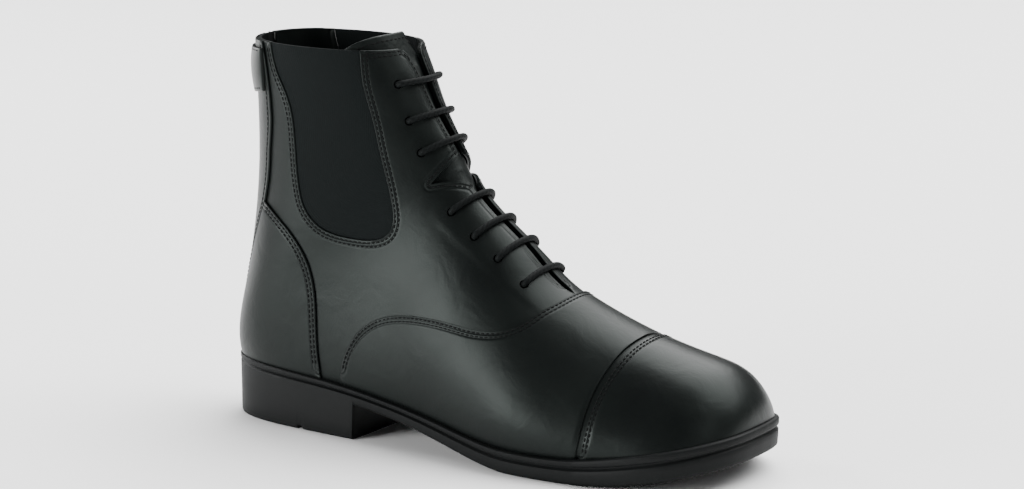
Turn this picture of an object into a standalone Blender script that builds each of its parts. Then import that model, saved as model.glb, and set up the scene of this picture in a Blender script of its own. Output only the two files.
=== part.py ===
"""Lace-up paddock boot, the right one of a pair: an ankle-high riding boot in metres.

Toe along +X, medial side along +Y, +Z up. The floor is z = 0 and the origin is the middle
of the heel's seat on the floor. Every leather piece is a sheet between two offsets of one
last surface, so all of them follow the same form.
"""
import bmesh
import bpy
import numpy as np
from math import cos, pi, radians, sin

for old in list(bpy.data.objects):
    bpy.data.objects.remove(old, do_unlink=True)

# Driving sizes of the last and the shaft
LENGTH = 0.290            # heel to toe, along the floor
BALL_WIDTH = 0.092        # upper across the ball of the foot
INSTEP_HEIGHT = 0.1285    # floor to the bend in front of the ankle
SHAFT_RISE = 0.0685       # from that bend up to the collar
SHAFT_WIDTH = 0.063       # across the shaft
COLLAR_HEIGHT = INSTEP_HEIGHT + SHAFT_RISE

# Driving sizes of the sole
HEEL_HEIGHT = 0.020       # heel block, floor to the plate above it
HEEL_LENGTH = 0.081       # heel's back to its breast, on the floor
BREAST_SLANT = 0.003      # breast leans forward by this on its way up
TOE_SPRING = 0.013        # toe end of the plate above the floor
SOLE_THICKNESS = 0.012    # plate under the ball
SOLE_LEDGE = 0.0036       # plate stands out past the upper by this
FLAT_SINK = 0.0003        # presses the low part of the tread flat
TREAD_DEPTH = 0.0016
TREAD_WIDTH = 0.0040      # a cross groove at its mouth
TREAD_SLOPE = 0.0008      # each of its sides

# Thicknesses and clearances
GAP = 0.0003              # between pieces that touch
WALL = 0.002              # upper: leather with its lining
VAMP_LEATHER = 0.001      # overlays: leather laid on the upper
CAP_LEATHER = 0.0015
BACK_LEATHER = 0.0012
FLAP_LEATHER = 0.0014
GORE_THICKNESS = 0.001
GORE_RECESS = 0.0008      # elastic lies below the leather's face
TONGUE_THICKNESS = 0.0024
TONGUE_PLAY = 0.0009      # tongue to the upper's lining
TONGUE_RISE = 0.0085      # tongue above the collar, at its middle
INSOLE_THICKNESS = 0.0028
INSOLE_PLAY = 0.0028      # insole's edge to the wall

# Closures
LACE_DIAMETER = 0.0038
EYELET_DIAMETER = 0.0052
EYELET_REACH = 0.0175     # eyelet's middle to the boot's middle line
ZIP_WIDTH = 0.0062
ZIP_THICKNESS = 0.0012
ZIP_END_HEIGHT = 0.056    # zip's lower end above the floor
STRIP_WIDTH = 0.0270      # leather strip beside the zip, at its widest
FLAP_DROP = 0.004         # flap's top edge below the collar
FLAP_HEIGHT = 0.025
FLAP_LATERAL_REACH = 0.029
FLAP_MEDIAL_ANGLE = 118   # flap's free end, degrees round from the front line

COLUMNS = 11              # points across each side of the upper and its overlays

# The origin is above the middle of the heel's seat
HEEL_SEAT_X = HEEL_LENGTH / 2

# Sections of the last from toe to instep. Each is a slanting plane from a point on the
# front line to a point on the back or bottom line; the bottom line runs below the sole.
# front x, back x: of LENGTH; front z, back z: of INSTEP_HEIGHT; lateral, medial half
# width and middle y: of BALL_WIDTH; skew: wider low down if negative; full: squarer.
FOOT_SECTIONS = (
    # front x, front z, back x, back z, lateral, medial, skew, full, middle y
    (0.996, 0.187, 0.988, 0.109, 0.095, 0.095, -0.10, 0.10, 0.096),
    (0.990, 0.288, 0.976, 0.047, 0.272, 0.261, -0.20, 0.15, 0.096),
    (0.955, 0.385, 0.938, 0.016, 0.402, 0.391, -0.30, 0.20, 0.090),
    (0.903, 0.434, 0.876, 0.000, 0.476, 0.454, -0.35, 0.22, 0.080),
    (0.792, 0.505, 0.779, -0.023, 0.500, 0.466, -0.38, 0.20, 0.053),
    (0.648, 0.644, 0.655, -0.039, 0.522, 0.478, -0.38, 0.15, 0.027),
    (0.582, 0.774, 0.517, -0.047, 0.465, 0.420, -0.30, 0.10, 0.006),
    (0.526, 0.887, 0.345, -0.047, 0.405, 0.370, -0.12, 0.06, -0.011),
    (0.471, 1.000, 0.155, -0.031, 0.360, 0.350, -0.16, 0.22, -0.005),
)
# Sections of the shaft, up to one above the collar that the tongue follows.
# front x, back x: of LENGTH; front rise: of SHAFT_RISE above the instep; back z: of
# COLLAR_HEIGHT; lateral, medial half width: of SHAFT_WIDTH.
SHAFT_SECTIONS = (
    # front x, front rise, back x, back z, lateral, medial, skew, full
    (0.437, 0.241, -0.002, 0.112, 0.500, 0.508, -0.20, 0.30),
    (0.408, 0.431, 0.002, 0.335, 0.495, 0.505, -0.12, 0.25),
    (0.380, 0.628, 0.026, 0.558, 0.492, 0.500, -0.03, 0.20),
    (0.357, 0.825, 0.033, 0.761, 0.500, 0.500, 0.03, 0.20),
    (0.334, 1.000, 0.029, 1.000, 0.508, 0.508, 0.03, 0.20),
    (0.313, 1.219, 0.028, 1.076, 0.513, 0.513, 0.03, 0.20),
)
INSTEP_ROW = len(FOOT_SECTIONS) - 1
COLLAR_ROW = INSTEP_ROW + len(SHAFT_SECTIONS) - 1

# The sole's plate: arch is its underside over the waist and spring over the toe, both
# as shares of the size named, and thick is its thickness.
SOLE_STATIONS = (
    # x of LENGTH, arch of HEEL_HEIGHT, spring of TOE_SPRING, thick of SOLE_THICKNESS
    (-0.020, 1.09, 0.00, 0.83),
    (0.138, 1.02, 0.00, 0.80),
    (0.293, 0.90, 0.00, 0.71),
    (0.345, 0.80, 0.00, 0.69),
    (0.448, 0.50, 0.00, 0.78),
    (0.552, 0.16, 0.00, 0.90),
    (0.610, 0.03, 0.00, 0.96),
    (0.665, 0.00, 0.00, 1.00),
    (0.745, 0.00, 0.00, 1.06),
    (0.828, 0.00, 0.16, 1.20),
    (0.914, 0.00, 0.52, 1.24),
    (1.000, 0.00, 1.00, 1.22),
    (1.040, 0.00, 1.25, 1.22),
)
# The plate's side from its upper edge down, as shares of the plate's own thickness,
# and how far each level stands in from the outermost line, of SOLE_LEDGE.
SOLE_SIDE = (
    # drop, inset
    (0.00, 0.22),
    (0.07, 0.00),
    (0.27, 0.00),
    (0.31, 0.36),
    (0.39, 0.36),
    (0.44, 0.08),
)
SOLE_FOOT_INSET = 0.45     # side at the tread's edge, of SOLE_LEDGE
TREAD_EDGE_INSET = 0.90    # tread's own edge, of SOLE_LEDGE
TREAD_EDGE_RISE = 0.0012

# Seams seen from the side: x of LENGTH, z of COLLAR_HEIGHT
VAMP_SEAM = (
    (0.676, 0.450), (0.664, 0.422), (0.652, 0.402), (0.638, 0.386), (0.624, 0.366),
    (0.601, 0.346), (0.572, 0.337), (0.535, 0.337), (0.496, 0.344), (0.454, 0.349),
    (0.411, 0.348), (0.367, 0.339), (0.341, 0.327), (0.315, 0.306), (0.294, 0.279),
    (0.278, 0.246), (0.265, 0.205), (0.258, 0.160), (0.254, 0.030),
)
CAP_SEAM = (
    (0.800, 0.380), (0.795, 0.332), (0.789, 0.316), (0.784, 0.298), (0.778, 0.269),
    (0.772, 0.234), (0.768, 0.195), (0.766, 0.150), (0.764, 0.110), (0.760, 0.075),
    (0.757, 0.020),
)
COUNTER_SEAM = (
    (0.005, 0.612), (0.045, 0.600), (0.083, 0.582), (0.114, 0.556), (0.146, 0.521),
    (0.168, 0.487), (0.182, 0.456), (0.193, 0.419), (0.201, 0.374), (0.205, 0.323),
    (0.207, 0.270), (0.210, 0.207), (0.214, 0.150), (0.216, 0.040),
)
GORE_OUTLINE = (
    (0.100, 1.040), (0.103, 1.000), (0.108, 0.962), (0.119, 0.923), (0.137, 0.879),
    (0.151, 0.826), (0.156, 0.775), (0.160, 0.697), (0.167, 0.628), (0.176, 0.589),
    (0.194, 0.556), (0.217, 0.534), (0.254, 0.521), (0.294, 0.518), (0.327, 0.525),
    (0.344, 0.541), (0.350, 0.570), (0.346, 0.611), (0.337, 0.665), (0.327, 0.720),
    (0.317, 0.780), (0.307, 0.841), (0.296, 0.898), (0.285, 1.000), (0.281, 1.040),
)

# The throat from its lower end to the collar, with the flex notch at the ankle.
# station: counted in sections; half gap: of EYELET_REACH
THROAT = (
    # station, half gap
    (4.92, 0.00), (5.05, 0.10), (5.60, 0.12), (6.50, 0.13), (7.20, 0.14), (7.85, 0.15),
    (8.17, 0.22), (8.50, 0.66), (8.80, 1.06), (8.92, 0.58), (9.05, 0.17), (9.60, 0.14),
    (10.60, 0.15), (11.50, 0.18), (12.20, 0.22), (12.70, 0.30), (12.90, 0.42),
    (13.00, 0.62),
)
LACE_STATIONS = (5.67, 6.50, 7.20, 7.97, 9.67, 10.67, 11.80)
# The tongue's edges in degrees round from the front line, by station; its top leans over
# to the lateral side, so that the throat gapes a little beside it
TONGUE_EDGES = (
    # station, lateral, medial
    (5.30, 30, 30), (6.50, 38, 38), (8.00, 46, 46), (9.50, 54, 48), (11.00, 58, 34),
    (12.00, 60, 18), (13.00, 62, 5), (13.60, 62, 2),
)
# The strips' outer edge from the heel to the collar
STRIP_EDGE = (
    # station, share of STRIP_WIDTH
    (8.50, 0.38), (9.50, 0.38), (9.80, 0.45), (10.25, 0.69), (10.42, 0.76), (10.66, 0.86),
    (10.85, 0.94), (11.14, 0.96), (11.60, 0.96), (12.00, 1.00), (12.30, 1.00), (12.70, 0.97),
    (13.00, 0.93),
)


def spline_slopes(knots, values):
    """Second derivatives of the natural cubic curve through the values."""
    count = len(knots)
    step = np.diff(knots)
    matrix = np.eye(count)
    right = np.zeros((count, values.shape[1]))
    for i in range(1, count - 1):
        matrix[i, i - 1], matrix[i, i + 1] = step[i - 1], step[i]
        matrix[i, i] = 2 * (step[i - 1] + step[i])
        rise = (values[i + 1] - values[i]) / step[i]
        right[i] = 6 * (rise - (values[i] - values[i - 1]) / step[i - 1])
    return np.linalg.solve(matrix, right)


class Curve:
    """A smooth curve through a table's rows, one value for each column."""

    def __init__(self, knots, values):
        self.knots = np.asarray(knots, float)
        self.values = np.asarray(values, float).reshape(len(self.knots), -1)
        self.bends = spline_slopes(self.knots, self.values)

    def __call__(self, at):
        at = np.asarray(at, float)
        k = np.clip(np.searchsorted(self.knots, at) - 1, 0, len(self.knots) - 2)
        step = self.knots[k + 1] - self.knots[k]
        a = ((self.knots[k + 1] - at) / step)[..., None]
        b = 1 - a
        bow = ((a**3 - a) * self.bends[k] + (b**3 - b) * self.bends[k + 1]) / 6
        result = a * self.values[k] + b * self.values[k + 1] + bow * (step**2)[..., None]
        return np.moveaxis(result, -1, 0)


def section_rows():
    """All sections in metres: front x, z, back x, z, two half widths, skew, full, y."""
    rows = []
    for fx, fz, bx, bz, lateral, medial, skew, full, middle in FOOT_SECTIONS:
        rows.append((fx * LENGTH, fz * INSTEP_HEIGHT, bx * LENGTH, bz * INSTEP_HEIGHT,
                     lateral * BALL_WIDTH, medial * BALL_WIDTH, skew, full,
                     middle * BALL_WIDTH))
    for fx, rise, bx, bz, lateral, medial, skew, full in SHAFT_SECTIONS:
        rows.append((fx * LENGTH, INSTEP_HEIGHT + rise * SHAFT_RISE, bx * LENGTH,
                     bz * COLLAR_HEIGHT, lateral * SHAFT_WIDTH, medial * SHAFT_WIDTH,
                     skew, full, 0.0))
    return rows


def sole_rows():
    rows = []
    for x, arch, spring, thick in SOLE_STATIONS:
        under = arch * HEEL_HEIGHT + spring * TOE_SPRING
        rows.append((under, under + thick * SOLE_THICKNESS))
    return rows


last = Curve(range(COLLAR_ROW + 2), section_rows())
plate = Curve([row[0] * LENGTH for row in SOLE_STATIONS], sole_rows())
throat_gap = Curve([row[0] for row in THROAT], [row[1] * EYELET_REACH for row in THROAT])


def sole_under(x):
    return np.maximum(plate(x)[0] - FLAT_SINK, 0.0)


def sole_top(x):
    return plate(x)[1]


def last_point(station, angle):
    """A point of the last: angle 0 is the front line, pi the back; medial is positive."""
    fx, fz, bx, bz, lateral, medial, skew, full, middle = last(station)
    share = (1 - np.cos(angle)) / 2
    half = np.where(np.sin(angle) < 0, lateral, medial)
    bulge = 1 + skew * np.cos(angle) + full * np.cos(angle) ** 2
    y = middle + half * np.sin(angle) * bulge
    return np.stack([fx + (bx - fx) * share, y, fz + (bz - fz) * share], -1)


def last_normal(station, angle):
    """Outward normal, from the differences along the two parameters."""
    step = 0.002
    round_way = last_point(station, angle + step) - last_point(station, angle - step)
    along = last_point(station + step, angle) - last_point(station - step, angle)
    normal = np.cross(round_way, along)
    return normal / np.linalg.norm(normal, axis=-1, keepdims=True)


def skin(station, angle, offset):
    """A point at this offset outward of the last."""
    station, angle = np.broadcast_arrays(np.asarray(station, float), np.asarray(angle, float))
    offset = np.asarray(offset, float)
    return last_point(station, angle) + last_normal(station, angle) * offset[..., None]


def first_crossing(values, below):
    """Where a row of samples first drops below zero, as a fractional index."""
    k = int(np.argmax(below))
    if not below[k]:
        return None
    if k == 0:
        return 0.0
    return k - 1 + values[k - 1] / (values[k - 1] - values[k])


def feather_angle(stations, side, offset, lift=GAP):
    """How far round each section goes before it meets the sole's top; pi if it never does."""
    samples = np.linspace(0, pi, 241)
    points = skin(np.asarray(stations)[:, None], side * samples[None, :], offset)
    height = points[..., 2] - sole_top(points[..., 0]) - lift
    result = []
    for row in height:
        where = first_crossing(row, row < 0)
        result.append(pi if where is None else where * samples[1])
    return np.array(result)


def line_crossing(angle, low, high, offset, lift=GAP):
    """Station at which the front or the back line meets the sole's top."""
    samples = np.linspace(low, high, 401)
    points = skin(samples, np.full(samples.shape, angle), offset)
    height = points[:, 2] - sole_top(points[:, 0]) - lift
    where = first_crossing(-height, height > 0)
    return low + (high - low) * where / (len(samples) - 1)


# Station at which the bare last's back line leaves the sole
HEEL_SEAT = line_crossing(pi, INSTEP_ROW, INSTEP_ROW + 2.0, 0.0)


def fitted(stations, offset, lift=GAP):
    """Moves stations so that 0 is the toe's tip and HEEL_SEAT the heel's back here."""
    toe = line_crossing(0.0, 0.0, 2.0, offset, lift)
    heel = line_crossing(pi, INSTEP_ROW, INSTEP_ROW + 2.0, offset, lift)
    near = 0.25
    known = [0, 2, HEEL_SEAT - near, HEEL_SEAT, HEEL_SEAT + near, COLLAR_ROW + 1]
    return np.interp(stations, known, [toe, 2, known[2], heel, *known[4:]])


def front_angle(stations, reach):
    """Angle at which a section is this far from its front line, to the side."""
    _, _, _, _, lateral, _, skew, full, _ = last(stations)
    return np.arcsin(np.clip(reach / (lateral * (1 + skew + full)), 0, 1))


def back_angle(stations, reach):
    """The same for the back line."""
    _, _, _, _, lateral, _, skew, full, _ = last(stations)
    return pi - np.arcsin(np.clip(reach / (lateral * (1 - skew + full)), 0, 1))


def back_station(height):
    """Station whose back point is at this height."""
    samples = np.linspace(HEEL_SEAT, COLLAR_ROW + 1, 401)
    return float(np.interp(height, last(samples)[3], samples))


def leather(name, color, roughness, metallic=0.0):
    material = bpy.data.materials.new(name)
    material.use_nodes = True
    shader = material.node_tree.nodes["Principled BSDF"]
    shader.inputs["Base Color"].default_value = (*color, 1.0)
    shader.inputs["Roughness"].default_value = roughness
    shader.inputs["Metallic"].default_value = metallic
    return material


frame = bpy.data.objects.new("boot_frame", None)
bpy.context.scene.collection.objects.link(frame)
frame.location = (-HEEL_SEAT_X, 0, 0)


def add_object(name, mesh, finish=None):
    piece = bpy.data.objects.new(name, mesh)
    bpy.context.scene.collection.objects.link(piece)
    piece.parent = frame
    if finish:
        mesh.materials.append(leather(name + "_finish", *finish))
        mesh.shade_smooth()
        mesh.set_sharp_from_angle(angle=radians(40))
    return piece


def grid_faces(count, first, second, flip):
    """Quads of a grid of count rows whose rows are lists of vertex numbers."""
    faces = []
    for a, b in zip(first, second):
        for j in range(count - 1):
            quad = (a[j], a[j + 1], b[j + 1], b[j])
            faces.append(quad[::-1] if flip else quad)
    return faces


def sheet_object(name, sheets, finish):
    """A closed solid from one sheet, or from one for each side.

    A sheet is (outer, inner, low_open, high_open): two grids of points, then for each row
    whether its first and its last column is a free edge. Its first and last rows are free
    edges. An edge that isn't free meets the other side's sheet, and is welded.
    """
    points, faces = [], []
    for outer, inner, low_open, high_open in sheets:
        rows, columns = outer.shape[:2]
        start = len(points)
        points += outer.reshape(-1, 3).tolist() + inner.reshape(-1, 3).tolist()
        out = (start + np.arange(rows * columns).reshape(rows, columns)).tolist()
        inn = (start + rows * columns + np.arange(rows * columns).reshape(rows, columns)).tolist()
        faces += grid_faces(columns, out[:-1], out[1:], False)
        faces += grid_faces(columns, inn[:-1], inn[1:], True)
        for column, is_open in ((0, low_open), (-1, high_open)):
            for i in range(rows - 1):
                if is_open[i] or is_open[i + 1]:
                    quad = (out[i][column], out[i + 1][column], inn[i + 1][column], inn[i][column])
                    faces.append(quad)
        for a, b in ((out[0], inn[0]), (out[-1], inn[-1])):
            faces += [(a[j], a[j + 1], b[j + 1], b[j]) for j in range(columns - 1)]
    return add_object(name, welded_mesh(name, points, faces), finish)


def welded_mesh(name, points, faces):
    mesh = bpy.data.meshes.new(name)
    mesh.from_pydata(points, [], faces)
    body = bmesh.new()
    body.from_mesh(mesh)
    bmesh.ops.remove_doubles(body, verts=body.verts, dist=0.00001)
    bmesh.ops.triangulate(body, faces=body.faces, quad_method="SHORT_EDGE")
    bmesh.ops.recalc_face_normals(body, faces=body.faces)
    body.to_mesh(mesh)
    body.free()
    return mesh


def sheet(side, stations, low, high, outside, inside, columns=COLUMNS):
    """One side's sheet between two offsets.

    low and high are functions (stations, side, offset) that give the angles of the two
    edges. An edge at angle 0 or pi lies on the middle line, where the sides are welded.
    """
    grids, opens = [], []
    share = np.linspace(0, 1, columns)
    for offset in (outside, inside):
        rows = fitted(stations, offset)
        a, b = low(rows, side, offset), high(rows, side, offset)
        angles = a[:, None] + (b - a)[:, None] * share
        grids.append(skin(rows[:, None], side * angles, offset))
        opens.append(((a > 1e-9).tolist(), (b < pi - 1e-9).tolist()))
    return grids[0], grids[1], *opens[0]


def on_front(stations, side, offset):
    return np.zeros(len(stations))


def at_feather(stations, side, offset):
    """Down to the sole, or to the back line above the heel's seat."""
    angles = feather_angle(stations, side, offset)
    angles[stations >= fitted([HEEL_SEAT], offset)[0] - 1e-9] = pi
    return angles


def extrude_side(name, outline, low=-0.1, high=0.1):
    """A cutter: an outline seen from the side, carried across the boot."""
    count = len(outline)
    points = [(x, low, z) for x, z in outline] + [(x, high, z) for x, z in outline]
    faces = [tuple(range(count)), tuple(range(2 * count - 1, count - 1, -1))]
    faces += [(i, (i + 1) % count, (i + 1) % count + count, i + count) for i in range(count)]
    return cutter(name, points, faces)


def cutter(name, points, faces):
    mesh = bpy.data.meshes.new(name)
    mesh.from_pydata(points, [], faces)
    body = bmesh.new()
    body.from_mesh(mesh)
    bmesh.ops.recalc_face_normals(body, faces=body.faces)
    body.to_mesh(mesh)
    body.free()
    guide = add_object(name, mesh)
    guide.hide_render = True
    guide.display_type = "WIRE"
    return guide


def cut(piece, guide, operation):
    change = piece.modifiers.new(guide.name, "BOOLEAN")
    change.operation = operation
    change.solver = "EXACT"
    change.object = guide


def seam_line(table, count):
    """A smooth line through a seam's points, in metres, with this many points."""
    points = np.array(table) * (LENGTH, COLLAR_HEIGHT)
    run = np.r_[0, np.cumsum(np.hypot(*np.diff(points, axis=0).T))]
    line = Curve(run, points)(np.linspace(0, run[-1], count))
    return np.stack(line, -1)


def shifted(line, distance):
    """The line moved sideways by a distance; positive is to the left of its way."""
    way = np.gradient(line, axis=0)
    way /= np.linalg.norm(way, axis=1, keepdims=True)
    return line + np.stack([-way[:, 1], way[:, 0]], -1) * distance


# The upper: one wall from the toe to the collar, open at the throat and along the zip

ZIP_END = back_station(ZIP_END_HEIGHT)
TOE_ROWS = (0, 0.10, 0.26, 0.48, 0.76, 1.1, 1.5, 2.0)
CUT = 0.001               # half the height of the zip slot's square end, in stations
UPPER_ROWS = sorted((*TOE_ROWS, 2.5, 3.0, 3.6, 4.2, *(row[0] for row in THROAT),
                     HEEL_SEAT, ZIP_END - CUT, ZIP_END + CUT))


def rows_between(low, high):
    """The upper's own rows in this range with its two ends, so that facets run together."""
    inner = [row for row in UPPER_ROWS if low + 0.04 < row < high - 0.04]
    return np.array((low, *inner, high))


def throat_edge(stations, side, offset):
    gap = np.where(stations > THROAT[0][0], np.maximum(throat_gap(stations)[0], 0), 0)
    return front_angle(stations, gap)


def zip_edge(stations, side, offset):
    angles = at_feather(stations, side, offset)
    slot = stations > ZIP_END
    angles[slot] = back_angle(stations[slot], ZIP_WIDTH / 2 + GAP)
    return angles


def make_upper():
    rows = np.array(UPPER_ROWS)
    sides = [sheet(side, rows, throat_edge, zip_edge, 0.0, -WALL) for side in (-1, 1)]
    upper = sheet_object("upper", sides, ((0.012, 0.013, 0.014), 0.38))
    window = seam_line(GORE_OUTLINE, 30)
    cut(upper, extrude_side("gore_window", window), "DIFFERENCE")
    cut(upper, eyelet_punch(), "DIFFERENCE")
    return upper


def eyelet_place(station, side):
    """An eyelet's middle on the upper's face, and the face's normal there."""
    angle = side * front_angle(np.array([station]), EYELET_REACH)
    place = np.array([station])
    return skin(place, angle, 0.0)[0], last_normal(place, angle)[0]


def eyelet_punch():
    """All the punched holes as one cutter of short six-sided pins."""
    sides, points, faces = 6, [], []
    for station in LACE_STATIONS:
        for side in (-1, 1):
            middle, axis = eyelet_place(station, side)
            across = np.cross(axis, (0, 1, 0))
            across /= np.linalg.norm(across)
            other = np.cross(axis, across)
            start = len(points)
            for depth in (-2 * WALL, WALL):
                for k in range(sides):
                    turn = 2 * pi * (k + 0.5) / sides
                    ray = across * cos(turn) + other * sin(turn)
                    points.append(middle + axis * depth + ray * EYELET_DIAMETER / 2)
            low = list(range(start, start + sides))
            high = [i + sides for i in low]
            faces += [low[::-1], high]
            faces += [(low[k], low[(k + 1) % sides], high[(k + 1) % sides], high[k])
                      for k in range(sides)]
    return cutter("eyelet_punch", [tuple(p) for p in points], faces)


# Overlays: sheets on the upper's face, cut to their seams

def make_vamp():
    low, high = GAP, GAP + VAMP_LEATHER
    rows = rows_between(0, 8.5)
    sides = [sheet(side, rows, on_front, at_feather, high, low) for side in (-1, 1)]
    vamp = sheet_object("vamp", sides, ((0.011, 0.012, 0.013), 0.36))
    far = 2 * LENGTH
    seam = seam_line(VAMP_SEAM, 26)
    toe_edge = shifted(seam_line(CAP_SEAM, 9), -GAP)
    outline = [(seam[0][0], far), *seam.tolist(), (seam[-1][0], -far),
               (toe_edge[-1][0], -far), *toe_edge[::-1].tolist(), (toe_edge[0][0], far)]
    cut(vamp, extrude_side("vamp_pattern", outline), "INTERSECT")
    return vamp


def make_toe_cap():
    low, high = GAP, GAP + CAP_LEATHER
    rows = rows_between(0, 4.5)
    sides = [sheet(side, rows, on_front, at_feather, high, low) for side in (-1, 1)]
    cap = sheet_object("toe_cap", sides, ((0.012, 0.013, 0.014), 0.33))
    far = 2 * LENGTH
    edge = seam_line(CAP_SEAM, 9)
    outline = [(edge[0][0], far), *edge.tolist(), (edge[-1][0], -far), (far, -far), (far, far)]
    cut(cap, extrude_side("toe_cap_pattern", outline), "INTERSECT")
    return cap


BACK_OUTSIDE = GAP + BACK_LEATHER
STRIP_INNER = ZIP_WIDTH / 2 + GAP
COUNTER_FRONT_ANGLE = radians(84)


def strip_outer(stations, spare=0.0):
    """Angle of the strips' outer edge; below the zip it bounds the heel patch."""
    edge = np.array(STRIP_EDGE)
    reach = STRIP_INNER + STRIP_WIDTH * np.interp(stations, edge[:, 0], edge[:, 1])
    return back_angle(stations, reach + spare)


def strip_side(stations, side, offset):
    """Edge of the counter beside the strips and the heel patch."""
    return np.minimum(at_feather(stations, side, offset), strip_outer(stations, GAP))


def make_counters(pattern):
    def front_side(stations, side, offset):
        return np.minimum(COUNTER_FRONT_ANGLE, strip_side(stations, side, offset) - 0.02)

    pieces = []
    rows = rows_between(7.7, 11.4)
    for label, side in (("lateral", -1), ("medial", 1)):
        one = sheet(side, rows, front_side, strip_side, BACK_OUTSIDE, 2 * GAP, 15)
        counter = sheet_object("counter_" + label, [one], ((0.012, 0.013, 0.014), 0.36))
        cut(counter, pattern, "INTERSECT")
        pieces.append(counter)
    return pieces


def counter_pattern():
    far = 2 * LENGTH
    seam = seam_line(COUNTER_SEAM, 18)
    outline = [(-far, seam[0][1]), *seam.tolist(), (seam[-1][0], -far), (-far, -far)]
    return extrude_side("counter_pattern", outline)


def make_heel_patch():
    """Small patch over the heel's back, below the zip."""
    samples = np.linspace(INSTEP_ROW + 0.2, HEEL_SEAT, 161)
    spare = feather_angle(samples, 1, BACK_OUTSIDE) - strip_outer(samples)
    begin = samples[int(np.argmax(spare > 0.03))]
    rows = np.array((begin, *rows_between(HEEL_SEAT, ZIP_END - 0.02)))

    def inner_side(stations, side, offset):
        return strip_outer(stations)

    sides = [sheet(side, rows, inner_side, at_feather, BACK_OUTSIDE, GAP, 4) for side in (-1, 1)]
    return sheet_object("heel_patch", sides, ((0.012, 0.013, 0.014), 0.34))


def make_back_strips():
    def inner_side(stations, side, offset):
        return back_angle(stations, STRIP_INNER)

    def outer_side(stations, side, offset):
        return strip_outer(stations)

    rows = rows_between(ZIP_END, COLLAR_ROW)
    pieces = []
    for label, side in (("lateral", -1), ("medial", 1)):
        one = sheet(side, rows, outer_side, inner_side, BACK_OUTSIDE, 1.5 * GAP, 12)
        name = "back_strip_" + label
        pieces.append(sheet_object(name, [one], ((0.013, 0.014, 0.015), 0.36)))
    return pieces


def make_zip():
    """Tape and teeth of the back zip, as one flat run in its slot."""
    rows = rows_between(ZIP_END + 0.02, COLLAR_ROW - 0.05)
    reach = ZIP_WIDTH / 2
    angles = np.linspace(-1, 1, 4)
    grids = []
    for offset in (ZIP_THICKNESS / 2, -ZIP_THICKNESS / 2):
        half = pi - back_angle(rows, reach)
        grids.append(skin(rows[:, None], pi + half[:, None] * angles, offset))
    is_open = [True] * len(rows)
    return sheet_object("back_zip", [(*grids, is_open, is_open)],
                        ((0.010, 0.010, 0.011), 0.55))


def make_flap():
    """Snap flap round the back of the collar, over the strips; its free end is medial."""
    top = back_station(COLLAR_HEIGHT - FLAP_DROP)
    bottom = back_station(COLLAR_HEIGHT - FLAP_DROP - FLAP_HEIGHT)
    lateral_end = 2 * pi - back_angle(np.array([top]), FLAP_LATERAL_REACH)[0]
    columns = np.linspace(radians(FLAP_MEDIAL_ANGLE), lateral_end, 19)
    toward_end = np.clip((pi - columns) / (pi - columns[0]), 0, 1) ** 2
    upper_edge = top - 0.20 * toward_end
    lower_edge = bottom + 0.06 * toward_end
    share = np.linspace(0, 1, 6)[:, None]
    stations = lower_edge + (upper_edge - lower_edge) * share
    past_strip = np.clip((strip_outer(np.array([top]))[0] - columns) / 0.25, 0, 1)
    inside = np.broadcast_to(2 * GAP + BACK_OUTSIDE * (1 - past_strip), stations.shape)
    angles = np.broadcast_to(columns, stations.shape)
    grids = [skin(stations, angles, offset) for offset in (inside + FLAP_LEATHER, inside)]
    is_open = [True] * len(share)
    return sheet_object("snap_flap", [(*grids, is_open, is_open)],
                        ((0.014, 0.015, 0.016), 0.30))


def make_gores():
    """Elastic side panels, set in their windows a little below the leather's face."""
    inset = seam_line(GORE_OUTLINE, 30)
    inset = shifted(inset, GAP)
    pattern = extrude_side("gore_pattern", inset.tolist())
    rows = rows_between(8.35, COLLAR_ROW - 0.02)

    def front_side(stations, side, offset):
        return np.full(len(stations), radians(36))

    def rear_side(stations, side, offset):
        return np.full(len(stations), radians(128))

    pieces = []
    for label, side in (("lateral", -1), ("medial", 1)):
        one = sheet(side, rows, front_side, rear_side, -GORE_RECESS,
                    -GORE_RECESS - GORE_THICKNESS, 9)
        gore = sheet_object("gore_" + label, [one], ((0.009, 0.009, 0.010), 0.85))
        cut(gore, pattern, "INTERSECT")
        pieces.append(gore)
    return pieces


def make_tongue():
    """Wide padded tongue behind the facings, arched above the collar."""
    table = np.array(TONGUE_EDGES, float)
    share = np.linspace(-1, 1, 9)
    last_station = COLLAR_ROW + TONGUE_RISE / (last(COLLAR_ROW + 1.0)[1] - COLLAR_HEIGHT)
    rounding = np.where(share < 0, np.abs(share) ** 2.5, 0.8 * share ** 5)
    ends = last_station - (last_station - COLLAR_ROW + 0.05) * rounding
    low = rows_between(table[0, 0], COLLAR_ROW - 1.0)
    high = np.linspace(0, 1, 6)[1:, None]
    arched = low[-1] + (ends - low[-1]) * high
    stations = np.concatenate([np.repeat(low[:, None], len(share), 1), arched])
    lateral, medial = (np.radians(np.interp(stations, table[:, 0], table[:, k])) for k in (1, 2))
    half = np.where(share < 0, lateral, medial)
    outside = -WALL - TONGUE_PLAY
    grids = [skin(stations, half * share, offset)
             for offset in (outside, outside - TONGUE_THICKNESS)]
    is_open = [True] * len(stations)
    return sheet_object("tongue", [(*grids, is_open, is_open)],
                        ((0.016, 0.017, 0.018), 0.42))


# Laces: one bar across the throat for each pair of eyelets

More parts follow.
